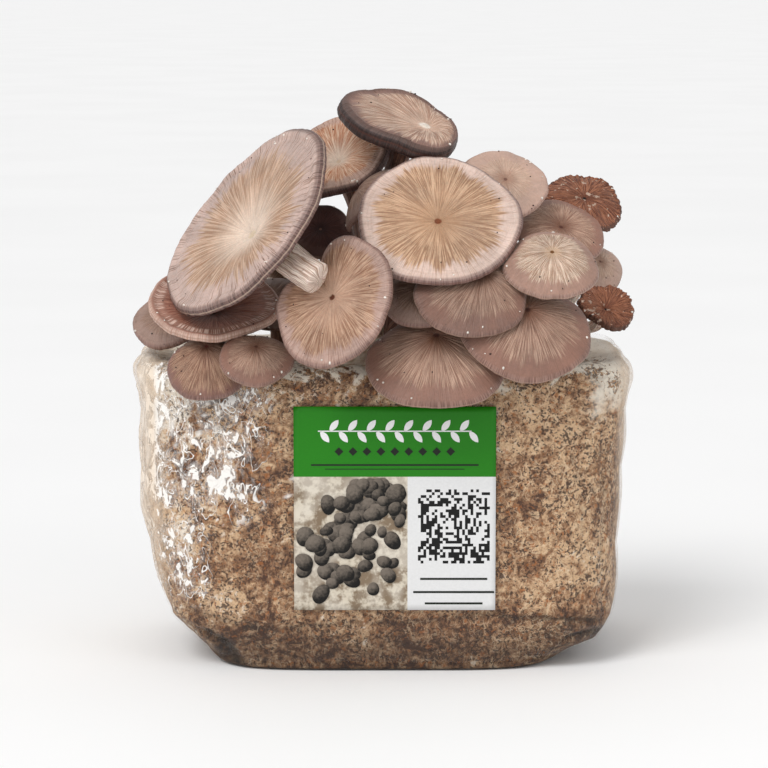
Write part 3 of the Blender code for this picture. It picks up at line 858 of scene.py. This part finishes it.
def add_tube(name, node, line, radii, seed, material, sides=40, roughness=0.0):
    """A grooved stem along a line, closed at both ends."""
    along = np.gradient(line, axis=0)
    along /= np.linalg.norm(along, axis=1)[:, None]
    side = np.cross(along[0], [0.3, 0.9, 0.1])
    _, cosine, sine = circle(sides)
    length = np.concatenate([[0], np.cumsum(np.linalg.norm(np.diff(line, axis=0), axis=1))])
    rows, grains = [], []
    for point, tangent, radius, far in zip(line, along, radii, length):
        side = side - tangent * np.dot(side, tangent)
        side /= np.linalg.norm(side)
        other = np.cross(tangent, side)
        groove = noise(stack(cosine * 3.2, sine * 3.2, far * 0.04), seed)
        groove += 0.5 * noise(stack(cosine * 8, sine * 8, far * 0.07), seed + 1)
        lump = noise(stack(cosine, sine, far * 0.12), seed + 2)
        reach = radius * (1 + 0.07 * groove + 0.07 * lump)
        rows.append(point + reach[:, None] * (cosine[:, None] * side + sine[:, None] * other))
        grains.append(stack(cosine, sine, far * MM))
    points = np.concatenate([[line[0]], *rows, [line[-1]]])
    points += roughness * noise(points * 0.45, seed + 1)[:, None]
    obj = add_mesh(name, points, closed_faces(len(rows), sides), [material])
    add_attribute(obj, "grain", np.concatenate([[grains[0][0]], *grains, [grains[-1][0]]]))
    place(obj, "stem_flesh", node)


def make_stem(name, spec, seed, material):
    line, radii = stem_line(spec, 36)
    add_tube("stem_" + name + "_flesh", "stem_" + name, line, radii, seed, material)


def make_stub(material):
    """The cut end of the big left cap's stem."""
    count = 30
    line = curve(*np.array(STUB, float), count)
    ahead = (line[-1] - line[-2]) / np.linalg.norm(line[-1] - line[-2])
    line = np.concatenate([line, [line[-1] + ahead * beyond for beyond, _ in STUB_END]])
    waist = 1 - 0.1 * np.sin(math.pi * np.linspace(0, 1, count))
    radii = STUB_RADIUS * np.concatenate([waist, [wide for _, wide in STUB_END]])
    add_tube("stem_big_left_end", "stem_big_left", line, radii, 97, material, sides=56, roughness=0.25)


def make_base(name, centre, size, seed, material):
    """A low lump of fused tissue with knobs on it."""
    sides, rings = 96, 26
    angle, cosine, sine = circle(sides)
    outline = 1 + 0.04 * np.sin(3 * angle + size[0]) + 0.03 * np.sin(5 * angle)
    rows = []
    for share in np.linspace(0.04, 1.0, rings):
        x = size[0] / 2 * outline * share * cosine
        y = size[1] / 2 * outline * share * sine
        knobs = fractal(stack(x * 0.18, y * 0.18, seed), 3, seed)
        height = BASE_HEIGHT * (1 - step(0.82, 1.0, share) * 0.98) * (BASE_SHARE + 0.12 * knobs)
        rows.append(stack(x, y, np.maximum(height, 0.0)))
    rows.append(stack(rows[-1][:, 0], rows[-1][:, 1], -0.6))
    points = np.concatenate([[[0.0, 0.0, BASE_HEIGHT * BASE_SHARE]], *rows, [[0.0, 0.0, -0.6]]])
    points += np.array([*centre, BLOCK_TOP])
    obj = add_mesh(name + "_tissue", points, closed_faces(len(rows), sides), [material])
    place(obj, "fused_tissue", name)


def block_surface(direction, level):
    """Points of the block's side, by the way they face in plan and a level from -1 to 1."""
    u, v = np.cos(direction), np.sin(direction)
    reach = (abs(u) ** PLAN_SQUARENESS + abs(v) ** PLAN_SQUARENESS) ** (-1 / PLAN_SQUARENESS)
    edge = (1 + abs(level) ** EDGE_SQUARENESS) ** (-1 / EDGE_SQUARENESS)
    a, b = u * reach * edge, v * reach * edge
    c = np.clip(level * edge, -FLAT_LEVEL, FLAT_LEVEL)
    height = BLOCK_HEIGHT * (c + FLAT_LEVEL) / (2 * FLAT_LEVEL)
    left, right = (np.interp(height, *zip(*end)) for end in (LEFT_END, RIGHT_END))
    x = a * np.where(a < 0, left, right)
    y = b * (0.5 * BLOCK_DEPTH + SWELL * (np.sin(math.pi * height / BLOCK_HEIGHT) - 1))
    depth, up, along = END_WAVE
    end_wave = depth * np.sin(up * height + along * y) * abs(a) ** END_WAVE_FADE
    depth, up, along = BACK_WAVE
    back_wave = depth * np.sin(up * height + along * x) * np.clip(b, 0, None) ** BACK_WAVE_FADE
    x = x + np.copysign(end_wave, a)
    y = np.maximum(y, FRONT_FACE_Y) + back_wave
    return stack(x, y, height + BLOCK_BOTTOM)


def side_grid(columns, rows):
    """Points of the block's whole side as rows by columns, and the way out of it at each."""
    _, cosine, sine = circle(columns)
    # More columns where the plan's corners turn, and an even spread along its long sides
    direction = np.arctan2(sine * BLOCK_DEPTH, cosine * BLOCK_WIDTH)
    level = np.linspace(-1, 1, rows)
    level = np.sign(level) * abs(level) ** 0.8
    points = block_surface(*np.meshgrid(direction, level))
    across = np.roll(points, -1, axis=1) - np.roll(points, 1, axis=1)
    out = np.cross(across, np.gradient(points, axis=0))
    size = np.linalg.norm(out, axis=2, keepdims=True)
    return points, out / np.maximum(size, 1e-9)


def near_line(line, x, z, wander_x, wander_z, wide):
    """How near each point is to a wandering line of points (x, z), from 0 to 1."""
    near = np.zeros(x.shape)
    for (x0, z0), (x1, z1) in zip(line, line[1:]):
        dx, dz = x1 - x0, z1 - z0
        t = np.clip(((x - x0) * dx + (z - z0) * dz) / (dx * dx + dz * dz), 0, 1)
        apart = np.hypot(x - x0 - t * dx + wander_x, z - z0 - t * dz + wander_z)
        near = np.maximum(near, hump(apart, 0, wide))
    return near


def patch_field(points, patches):
    """How much each point lies in one of the front's patches, from 0 to 1."""
    x, z = points[..., 0], points[..., 2]
    near = [hump(x, a, wide) * hump(z, b, tall) for a, b, wide, tall in patches]
    return np.max(near, axis=0) * (points[..., 1] < -20)


def fold_field(points):
    """How deep the folds are at each point, and how much painted shade each point gets from lying in one,
    from 0 to 1.
    """
    x, y, z = np.moveaxis(points, -1, 0)
    depth, shade = np.zeros(x.shape), np.zeros(x.shape)
    wander = 0.9 * noise(stack(x * 0.16, z * 0.16, 1.0), 41) + 0.4 * noise(stack(x * 0.5, z * 0.5, 1.0), 42)
    for line, deep, wide in FOLDS:
        near = near_line(line, x, z, wander, wander, wide)
        depth += deep * near
        shade = np.maximum(shade, near * np.clip(deep / 1.6, 0, 1))
    front = step(-40, -55, y)
    # The gussets fold inward along the middle of each end, and get painted shade there
    gusset = step(80, 92, abs(x)) * hump(y, 0, 2.5) * step(128, 110, z)
    return depth * front + 1.8 * gusset, np.maximum(shade * front, 0.6 * gusset)


def crease_field(points):
    """How near each point of the front is to a crease with painted white highlights, 0 to 1."""
    x, y, z = np.moveaxis(points, -1, 0)
    wander = 0.7 * noise(stack(x * 0.2, z * 0.2, 1.0), 43)
    near = [strong * near_line(line, x, z, wander, 0, CREASE_WIDTH) for line, strong in CREASES]
    return np.max(near, axis=0) * (y < -40)


def loose_field(points):
    """Where the film stands off the block, from 0 to 1. Painted white highlights gather there."""
    x, y, z = np.moveaxis(points, -1, 0)
    left = step(-40, -66, x) * step(55, 88, z)
    low_left = 0.7 * step(-66, -84, x) * step(20, 40, z)
    back = 0.6 * step(0.1, 0.7, noise(points * 0.03, 55)) * step(20, 45, y)
    ends = 0.7 * step(0.0, 0.6, noise(points * 0.03, 56)) * step(98, 104, abs(x))
    return np.clip(np.max([left, low_left, back, ends], axis=0), 0, 1)


def sawdust_material():
    """Colonised sawdust: chips and fibres in browns, with white growth over them."""
    n = Nodes("sawdust")
    where = n.where()
    x, y, z = n.split(where)
    # The folds' painted shade, the loose crumbs, and the flaps' painted shade
    fold, crumbly, flap_shade = n.split(n.attribute("fold"))
    rough = n.warped(where, 180.0, 0.003)
    swirl = n.noise(where, 75.0, 6.0, 0.62, 1.4)
    cloud = n.noise(where + (2.0, 0.0, 1.0), 32.0, 3.0, 0.5)
    grain = n.noise(rough, 430.0, 6.0, 0.75)
    crumbs = n.noise(rough, 900.0, 2.0, 0.5)
    clusters = n.noise(where + (1.0, 5.0, 2.0), 110.0, 4.0, 0.65)
    mottles = n.noise(rough, 330.0, 4.0, 0.65, 0.4)
    flecks = n.noise(rough + (3.0, 1.0, 2.0), 480.0, 2.0, 0.5)
    left = n.range(x, -0.045, -0.095)
    right = n.range(x, 0.045, 0.07)

    def curls(scale, width, shift):
        """Thin curly fibres."""
        bent = n.warped(where + (shift, 0.0, 0.0), 90.0, 0.014)
        return n.lines(n.noise(bent * (1.0, 1.0, 0.6), scale, 1.0), width, 0.3 * width)

    # Chips from brown to tan, golden flecks and pale fibres
    light = swirl * 0.55 + cloud * 0.35 + grain * 0.75 + left * 0.02
    # Toward the foot the chips get painted shade
    light = light + n.range(z, 0.03, 0.015, 0.0, -0.05) + right * n.range(z, 0.085, 0.110) * 0.07
    colour = n.mix(n.range(light, 0.68, 0.81), tone(32, 19, 11), tone(59, 43, 30))
    colour = n.mix(n.range(light, 0.79, 0.96), colour, tone(88, 75, 61))
    colour = n.mix(n.range(flecks, 0.60, 0.66) * 0.6, colour, tone(72, 44, 20))
    fibres = n.most(curls(190.0, 0.026, 3.0), curls(300.0, 0.030, 7.0))
    colour = n.mix(fibres * n.range(swirl, 0.40, 0.56) * (right * 0.25 + 0.40), colour, tone(93, 84, 72))

    # White growth, and dark crumbs over it
    # At the high left the white is partly growth and partly a painted highlight of the film
    high_left = n.range(x, -0.066, -0.090) * n.range(z, 0.088, 0.118)
    white = mottles * 0.5 + swirl * 0.5 + cloud * 0.3 + left * 0.05
    white = white + n.range(z, 0.108, 0.130, 0.0, 0.08) + right * -0.03 + high_left * 0.13
    colour = n.mix(n.range(white, 0.74, 0.84, 0.0, 0.9), colour, tone(97, 94, 90))
    dark = crumbs + clusters * 0.55 + grain * -0.25 + crumbly * 0.12
    dark = n.range(dark, 0.715, 0.775, 0.0, 0.85)
    colour = n.mix(dark, colour, tone(25, 15, 9))

    # The top and its corners are white, with tawny crumbs
    uneven = (swirl - 0.5) * 0.03
    height = z + uneven
    corner = n.range(abs(x + 0.003) + uneven, 0.088, 0.098) * n.range(height, 0.108, 0.124)
    top_growth = n.most(n.range(height, 0.1285, 0.1315), corner)
    crumb_on_top = n.noise(rough, 520.0, 4.0, 0.7) + crumbly * 0.2
    tawny = n.mix(n.range(crumbs, 0.42, 0.60), tone(24, 14, 8), tone(76, 57, 36))
    white_top = n.mix(n.range(crumb_on_top, 0.62, 0.67, 0.0, 0.9), tone(98, 96, 93), tawny)
    colour = n.mix(top_growth * 0.95, colour, white_top)

    # Painted sheen lightens both ends, and painted shade darkens the foot, the folds and the flaps
    painted_side_sheen = n.most(n.range(x, -0.090, -0.099), n.range(x, 0.100, 0.106, 0.0, 0.7))
    painted_side_sheen = painted_side_sheen * n.range(mottles, 0.64, 0.45, 0.45, 0.85)
    colour = n.mix(painted_side_sheen, colour, tone(93, 84, 74))
    painted_shade = n.range(z, 0.032, 0.0, 0.90, 0.38) * n.range(fold, 0.0, 1.0, 1.0, 0.35)
    painted_shade = painted_shade * n.range(flap_shade, 0.2, 0.8, 1.0, 0.5)
    colour = n.dimmed(colour, painted_shade, painted_shade * 0.95, painted_shade * 0.87)
    relief = grain + crumbs * 0.4 + dark * -0.3
    n.set(Base_Color=colour, Roughness=0.7, Normal=n.bump(relief, 0.0014, 0.8))
    return n.material


def make_block():
    """The sawdust block, with its folded skin and the knobbly growth on its top."""
    columns, rows = BLOCK_GRID
    points, out = side_grid(columns, rows)
    lumps = fractal(points * 0.05, 3, 11) * 0.8 + fractal(points * 0.3, 3, 17) * 0.4
    deep, shade = fold_field(points)
    inward = 0.7 + 0.5 * np.clip(lumps, -1, 1.2) + deep + 2.2 * step(24, 6, points[..., 2])
    side = points - out * inward[..., None] * step(-0.5, 6, points[..., 2:3])
    surface = BLOCK_TOP - 0.9
    top_rows = []
    for share in np.linspace(0.985, 0.0, TOP_RINGS + 1)[:-1]:
        row = side[-1] * share
        bumps = fractal(stack(row[:, 0] * 0.10, row[:, 1] * 0.10, 3.0), 4, 23)
        raised = 0.5 * EDGE_RISE * step(0.80, 0.97, share)
        row[:, 2] = surface + 0.9 * bumps * step(1.0, 0.93, share) + raised
        top_rows.append(row)
    bottom_rows = [side[0] * share for share in (0.2, 0.6, 0.97)]
    for row in bottom_rows:
        row[:, 2] = BLOCK_BOTTOM
    grid = np.concatenate([bottom_rows, side, top_rows])
    # The folds' painted shade, for the material to darken the block with
    shades = np.zeros(grid.shape[:2])
    shades[len(bottom_rows) : len(bottom_rows) + rows] = shade
    points = np.concatenate([[[0, 0, BLOCK_BOTTOM]], grid.reshape(-1, 3), [[0, 0, surface]]])
    faces = [face[::-1] for face in closed_faces(len(grid), columns)]
    obj = add_mesh("sawdust_block", points, faces, [sawdust_material()])
    crumbly, flap_shade = patch_field(points, CRUMB_PATCHES), patch_field(points, FLAP_SHADE_PATCHES)
    # The fold attribute carries the folds' painted shade, the crumbs and the flaps' painted shade
    add_attribute(obj, "fold", stack(np.pad(shades.reshape(-1), 1), crumbly, flap_shade))
    place(obj, "sawdust", "substrate_block")


def film_material():
    """Clear film showing what is behind it, with painted white highlights on creases and blisters."""
    n = Nodes("clear_film")
    crease, loose, edge = n.split(n.attribute("crease"))
    where = n.where()
    tall = n.warped(where, 55.0, 0.022) * (1.0, 1.0, 0.42)
    wrinkle = n.noise(tall, 150.0, 4.0, 0.6, 0.5)
    crinkle_place = n.warped(where * (1.0, 1.0, 0.6), 170.0, 0.011)
    wide = n.noise(where, 75.0, 2.0)
    # Painted highlights: white blotches on the blisters, streaks and crinkles where the film stands off,
    # white along the creases, a painted haze, and painted sheen at the ends
    blisters = n.noise(crinkle_place, 270.0, 4.0, 0.6) + loose * 0.12 + wide * 0.45
    white = n.range(blisters, 0.895, 0.915) * n.range(loose, 0.1, 0.4) * 0.88
    streaks = n.lines(n.noise(tall, 120.0, 2.0, 0.5), 0.009, 0.003) * n.range(loose, 0.1, 0.5)
    crinkles = n.lines(n.noise(crinkle_place, 330.0, 2.0), 0.016, 0.004)
    crinkles = crinkles * n.range(wide + loose * 0.2, 0.55, 0.70) * loose * 0.9
    painted_blister_sheen = n.range(blisters, 0.70, 0.90) * loose * 0.30
    painted_edge_sheen = edge * n.range(wrinkle, 0.35, 0.65, 0.35, 0.75)
    painted_highlight = n.most(white, n.most(streaks, crinkles) * 0.85, crease * 0.9, painted_blister_sheen, painted_edge_sheen)
    normal = n.bump(wrinkle, 0.003, 0.7)
    gloss = n.least(n.add("Fresnel", 1.45, normal) * 0.5, 0.10)
    shown = n.least(n.most(gloss, painted_highlight), 0.93)
    colour = n.mix(n.range(edge, 0.1, 0.6), (0.97, 0.94, 0.90), tone(95, 89, 82))
    n.set(Base_Color=colour, Metallic=n.range(painted_highlight, 0.16, 0.06), Roughness=0.12, Normal=normal)
    shine = Value(n, n.shader.outputs[0])
    surface = n.add("MixShader", shown, n.add("BsdfTransparent"), shine)
    n.put(n.tree.nodes["Material Output"], "Surface", surface)
    return n.material


def make_film():
    """The clear bag: round the block's side, under it, and turned in at its open top."""
    columns, rows = FILM_GRID
    points, out = side_grid(columns, rows)
    x, y, z = np.moveaxis(points, -1, 0)
    crease, loose = crease_field(points), loose_field(points)
    deep, _ = fold_field(points)
    swell = noise(points * np.array([0.09, 0.09, 0.035]), 51)
    fold = np.clip(1 - abs(noise(points * np.array([0.2, 0.2, 0.045]), 52)) * 2.4, 0, 1) ** 2
    stand = 0.15 + 0.3 * np.clip(swell, 0, 1) + 0.6 * fold * (0.4 + loose) + 0.7 * crease
    # The sticker holds the film flat
    beside = np.maximum(abs(x - LABEL_X) - LABEL_WIDTH / 2, abs(z - LABEL_Z) - LABEL_HEIGHT / 2)
    held = step(4, 0, beside) * (y < 0)
    stand = stand * (1 - held) + 0.3 * held
    low = 2.0 * step(24, 6, z)
    film = points + out * (stand - 0.85 * deep * (1 - held) - low)[..., None]
    rows_in = []
    for share, lift in ((0.985, 0.9), (0.965, 1.0), (0.945, 0.8), (0.925, 0.5)):
        row = film[-1] * np.array([share, share, 1.0])
        ragged = 1.2 * noise(stack(row[:, 0] * 0.1, row[:, 1] * 0.1, share * 9), 61)
        row[:, 2] = BLOCK_TOP + EDGE_RISE * 0.85 * lift + 0.4 * ragged
        rows_in.append(row)
    under = [film[0] * share for share in (0.02, 0.35, 0.7, 0.92)]
    for row in under:
        row[:, 2] = 0.35 + 0.15 * noise(row * 0.2, 62)
    grid = np.concatenate([under, film, rows_in])
    grid[..., 2] = np.maximum(grid[..., 2], 0.05)
    faces = grid_faces(len(grid), columns, wrap=True)
    obj = add_mesh("film_bag", grid.reshape(-1, 3), faces, [film_material()])
    beyond = ((len(under), len(rows_in)), (0, 0))
    crease_highlights, looses = np.pad(crease, beyond), np.pad(loose, beyond)
    crease_highlights[len(under) + rows :] = 0.05
    # Painted sheen at the film's ends
    end_sheen_mask = np.maximum(step(-94, -104, grid[..., 0]), 0.8 * step(101, 107, grid[..., 0]))
    add_attribute(obj, "crease", stack(crease_highlights, looses, end_sheen_mask * step(1.0, 6.0, grid[..., 2])))
    place(obj, "clear_film", "bag")


def paper_material(name, *colour):
    n = Nodes(name)
    paper = n.noise(n.where(), 900.0)
    n.set(Base_Color=n.mix(0.12, tone(*colour), n.range(paper, 0.3, 0.7, 0.8, 1.2), "MULTIPLY"))
    n.set(Roughness=0.45, Normal=n.bump(paper, 0.0001, 0.4), Specular_IOR_Level=0.25)
    return n.material


def picture_material():
    """The ground of the picture: pale gravel."""
    n = Nodes("label_picture")
    gravel = n.noise(n.where(), 260.0, 4.0, 0.6)
    soft = n.noise(n.where(), 60.0, 2.0)
    ground = n.mix(n.range(gravel, 0.4, 0.62), tone(50, 43, 35), tone(80, 76, 69))
    ground = n.mix(n.range(soft, 0.4, 0.6, 0.0, 0.5), ground, tone(86, 83, 78))
    n.set(Base_Color=ground, Roughness=0.45, Specular_IOR_Level=0.25)
    return n.material


def pebble_material():
    """Round dark pebbles, each light at the upper left."""
    n = Nodes("label_pebbles")
    u, v, shade = n.split(n.attribute("disc"))
    speck = n.noise(n.where(), 800.0)
    lit = u * -0.22 + v * 0.34 + shade * 0.22 + speck * 0.6 + (u * u + v * v) * -0.22
    colour = n.mix(n.range(lit, 0.05, 0.75), tone(6, 5, 4), tone(46, 42, 38))
    n.set(Base_Color=colour, Roughness=0.45, Specular_IOR_Level=0.25)
    return n.material


def add_print(name, outlines, material, rise=0.0, discs=None):
    """Flat printed shapes joined in one piece, each from its middle and its outline. Each lies a
    little higher than the one before where they may overlap.
    """
    points, faces, start = [], [], 0
    for index, outline in enumerate(outlines):
        outline = np.array(outline, float)
        shape = np.concatenate([[outline.mean(axis=0)], outline])
        y = LABEL_Y - PRINT_GAP * (1 + rise * index)
        points.append(stack(shape[:, 0] + LABEL_X, y, shape[:, 1] + LABEL_Z))
        count = len(outline)
        faces += [(start, start + 1 + i, start + 1 + (i + 1) % count) for i in range(count)]
        start += len(shape)
    obj = add_mesh(name, np.concatenate(points), faces, [material])
    if discs is not None:
        add_attribute(obj, "disc", np.concatenate(discs))
    place(obj, "label_paper")


def turned(u, v, angle):
    """Two coordinates, turned by an angle."""
    cosine, sine = math.cos(angle), math.sin(angle)
    return u * cosine - v * sine, u * sine + v * cosine


def leaf(x, z, length, wide, turn):
    """A pointed leaf's outline."""
    t = np.linspace(0, 1, 9)
    half = 0.5 * wide * np.sin(math.pi * t) ** 0.8
    along = np.concatenate([t, t[-2:0:-1]]) * length
    u, v = turned(along, np.concatenate([half, -half[-2:0:-1]]), turn)
    return stack(x + u, z + v)


def bar(left, right, low, high):
    return [(left, low), (right, low), (right, high), (left, high)]


def diamond(x, z, radius):
    return [(x - radius, z), (x, z - radius), (x + radius, z), (x, z + radius)]


def make_print():
    """A garland, diamonds and rules on the band, pebbles in the picture and rules on the panel."""
    leaves = [
        leaf(-32 + 4 * index, 33.85, 6.2, 2.8, math.radians(52 if index % 2 else -52))
        for index in range(LEAVES)
    ]
    add_print("sticker_garland", [bar(*STALK), *leaves], paper_material("print_white", 90, 90, 90))
    dark = [diamond(-24 + 6 * index, 25, DIAMOND_RADIUS) for index in range(DIAMONDS)]
    dark += [bar(*rule) for rule in RULES]
    add_print("sticker_rules", dark, paper_material("print_dark", 10, 12, 9))
    rng = np.random.default_rng(12)
    left, right, low, high = PICTURE
    pebbles, discs = [], []
    angle, cosine, sine = circle(22)
    for _ in range(PEBBLES):
        radius = rng.uniform(2.6, 4.6)
        along = rng.uniform(-26, 30)
        across = rng.normal(0, 8.5)
        x, z = -19 + 0.62 * along - 0.78 * across, -15 + 0.78 * along + 0.62 * across
        x = min(max(x, left + radius + 0.3), right - radius - 0.3)
        z = min(max(z, low + radius + 0.3), high - radius - 0.3)
        squash, lean = rng.uniform(0.72, 0.95), rng.uniform(0, math.pi)
        wobble = 1 + 0.04 * np.sin(2 * angle + rng.uniform(0, 6))
        wobble = wobble + 0.03 * np.sin(3 * angle + rng.uniform(0, 6))
        u, v = turned(radius * wobble * cosine, radius * squash * wobble * sine, lean)
        outline = stack(x + u, z + v)
        pebbles.append(outline)
        local = np.concatenate([[[0.0, 0.0]], (outline - outline.mean(axis=0)) / radius])
        discs.append(stack(local[:, 0], local[:, 1], rng.uniform(0, 1)))
    add_print("sticker_pebbles", pebbles, pebble_material(), 0.08, discs)


def cuts(*spans):
    """Sorted places of cuts, from spans that each have a start, an end and how many cuts."""
    places = sorted(value for span in spans for value in np.linspace(*span))
    return np.array([b for a, b in zip([-math.inf, *places], places) if b - a > 1e-6])


def make_label():
    """The sticker, cut along its printed areas, on the front of the film."""
    left, right, low, high = CODE
    across = cuts((*BAND[:2], 2), (left, right, CODE_CELLS + 1), (*PICTURE[:2], 20))
    up = cuts((low, high, CODE_CELLS + 1), (*BAND[2:], 12), (PICTURE[2], low, 8))
    x, z = np.meshgrid(across, up)
    y = LABEL_Y + 0.05 * (1 + noise(stack(x * 0.05, z * 0.05, 0.5), 71))
    faces = grid_faces(len(up), len(across), wrap=False)
    middle_x, middle_z = stack(x, z).reshape(-1, 2)[faces].mean(axis=1).T

    def inside(area):
        from_x, to_x, from_z, to_z = area
        return (middle_x > from_x) & (middle_x < to_x) & (middle_z > from_z) & (middle_z < to_z)

    column = np.floor((middle_x - left) * CODE_CELLS / (right - left)).astype(np.int64)
    row = np.floor((middle_z - low) * CODE_CELLS / (high - low)).astype(np.int64)
    slots = np.zeros(len(faces), int)
    slots[inside(BAND)] = 1
    slots[inside(PICTURE)] = 2
    slots[inside(CODE) & (lattice(stack(column, row, 0), 5) > 0.05)] = 3
    materials = [
        paper_material("label_white", 85, 85, 85), paper_material("label_green", 12, 47, 5),
        picture_material(), paper_material("label_black", 6, 6, 6),
    ]
    points = stack(x + LABEL_X, y, z + LABEL_Z).reshape(-1, 3)
    obj = add_mesh("sticker", points, faces, materials, slots)
    paper = obj.modifiers.new("Paper", "SOLIDIFY")
    paper.thickness = LABEL_THICKNESS * MM
    paper.offset = -1
    place(obj, "label_paper", "label")


def make_floor():
    n = Nodes("floor")
    speck = n.noise(n.where(), 3.0, 2.0)
    n.set(Base_Color=n.mix(n.range(speck, 0.3, 0.7), (0.92, 0.92, 0.92), (0.94, 0.94, 0.94)), Roughness=0.8)
    bpy.ops.mesh.primitive_circle_add(vertices=64, radius=60, fill_type="NGON", location=(0, 0, -0.0001))
    floor = bpy.context.object
    floor.name = "floor"
    floor.data.materials.append(n.material)


def add_lamp(light, place_at, aim):
    """A light's object, turned towards its aim."""
    obj = bpy.data.objects.new(light.name, light)
    obj.location = place_at
    obj.rotation_euler = (Vector(aim) - Vector(place_at)).to_track_quat("-Z", "Y").to_euler()
    bpy.context.scene.collection.objects.link(obj)


def make_studio():
    """The soft light and the camera."""
    scene = bpy.context.scene
    scene.view_settings.view_transform = "Standard"
    scene.world = bpy.data.worlds.new("studio")
    scene.world.use_nodes = True
    sky = scene.world.node_tree.nodes["Background"].inputs
    sky["Color"].default_value = (1, 1, 1, 1)
    sky["Strength"].default_value = SKY_POWER
    sun = bpy.data.lights.new("sun", "SUN")
    sun.energy = SUN_POWER
    sun.angle = math.radians(SUN_WIDTH)
    add_lamp(sun, SUN_FROM, (0, 0, 0))
    for name, (place_at, size, power) in LAMPS.items():
        lamp = bpy.data.lights.new(name, "AREA")
        lamp.shape = "RECTANGLE"
        lamp.size, lamp.size_y = size
        lamp.energy = power
        add_lamp(lamp, place_at, LAMP_AIM)
    camera = bpy.data.objects.new("camera", bpy.data.cameras.new("camera"))
    camera.data.lens = CAMERA_LENS
    camera.data.sensor_width = SENSOR
    camera.location = CAMERA_PLACE
    camera.rotation_euler = (math.radians(CAMERA_TILT), 0, 0)
    scene.collection.objects.link(camera)
    scene.camera = camera


def main():
    make_studio()
    make_floor()
    make_block()
    make_film()
    make_label()
    make_print()
    flesh = stem_material("stem_flesh", tone(63, 49, 41), tone(95, 89, 84))
    # Darker flesh for stems deep in the cluster: painted shade
    painted_shade_flesh = stem_material("stem_flesh_painted_shade", tone(30, 17, 13), tone(56, 40, 32))
    tissue = tissue_material()
    for seed, (name, (centre, size)) in enumerate(BASES.items()):
        make_base(name, centre, size, seed + 80, tissue)
    tops = {}
    for seed, (name, spec) in enumerate(MUSHROOMS.items()):
        tops[name] = make_cap(name, spec, seed)
        make_stem(name, spec, seed + 40, painted_shade_flesh if spec.shaded else flesh)
    make_stub(flesh)
    make_specks(tops)


main()
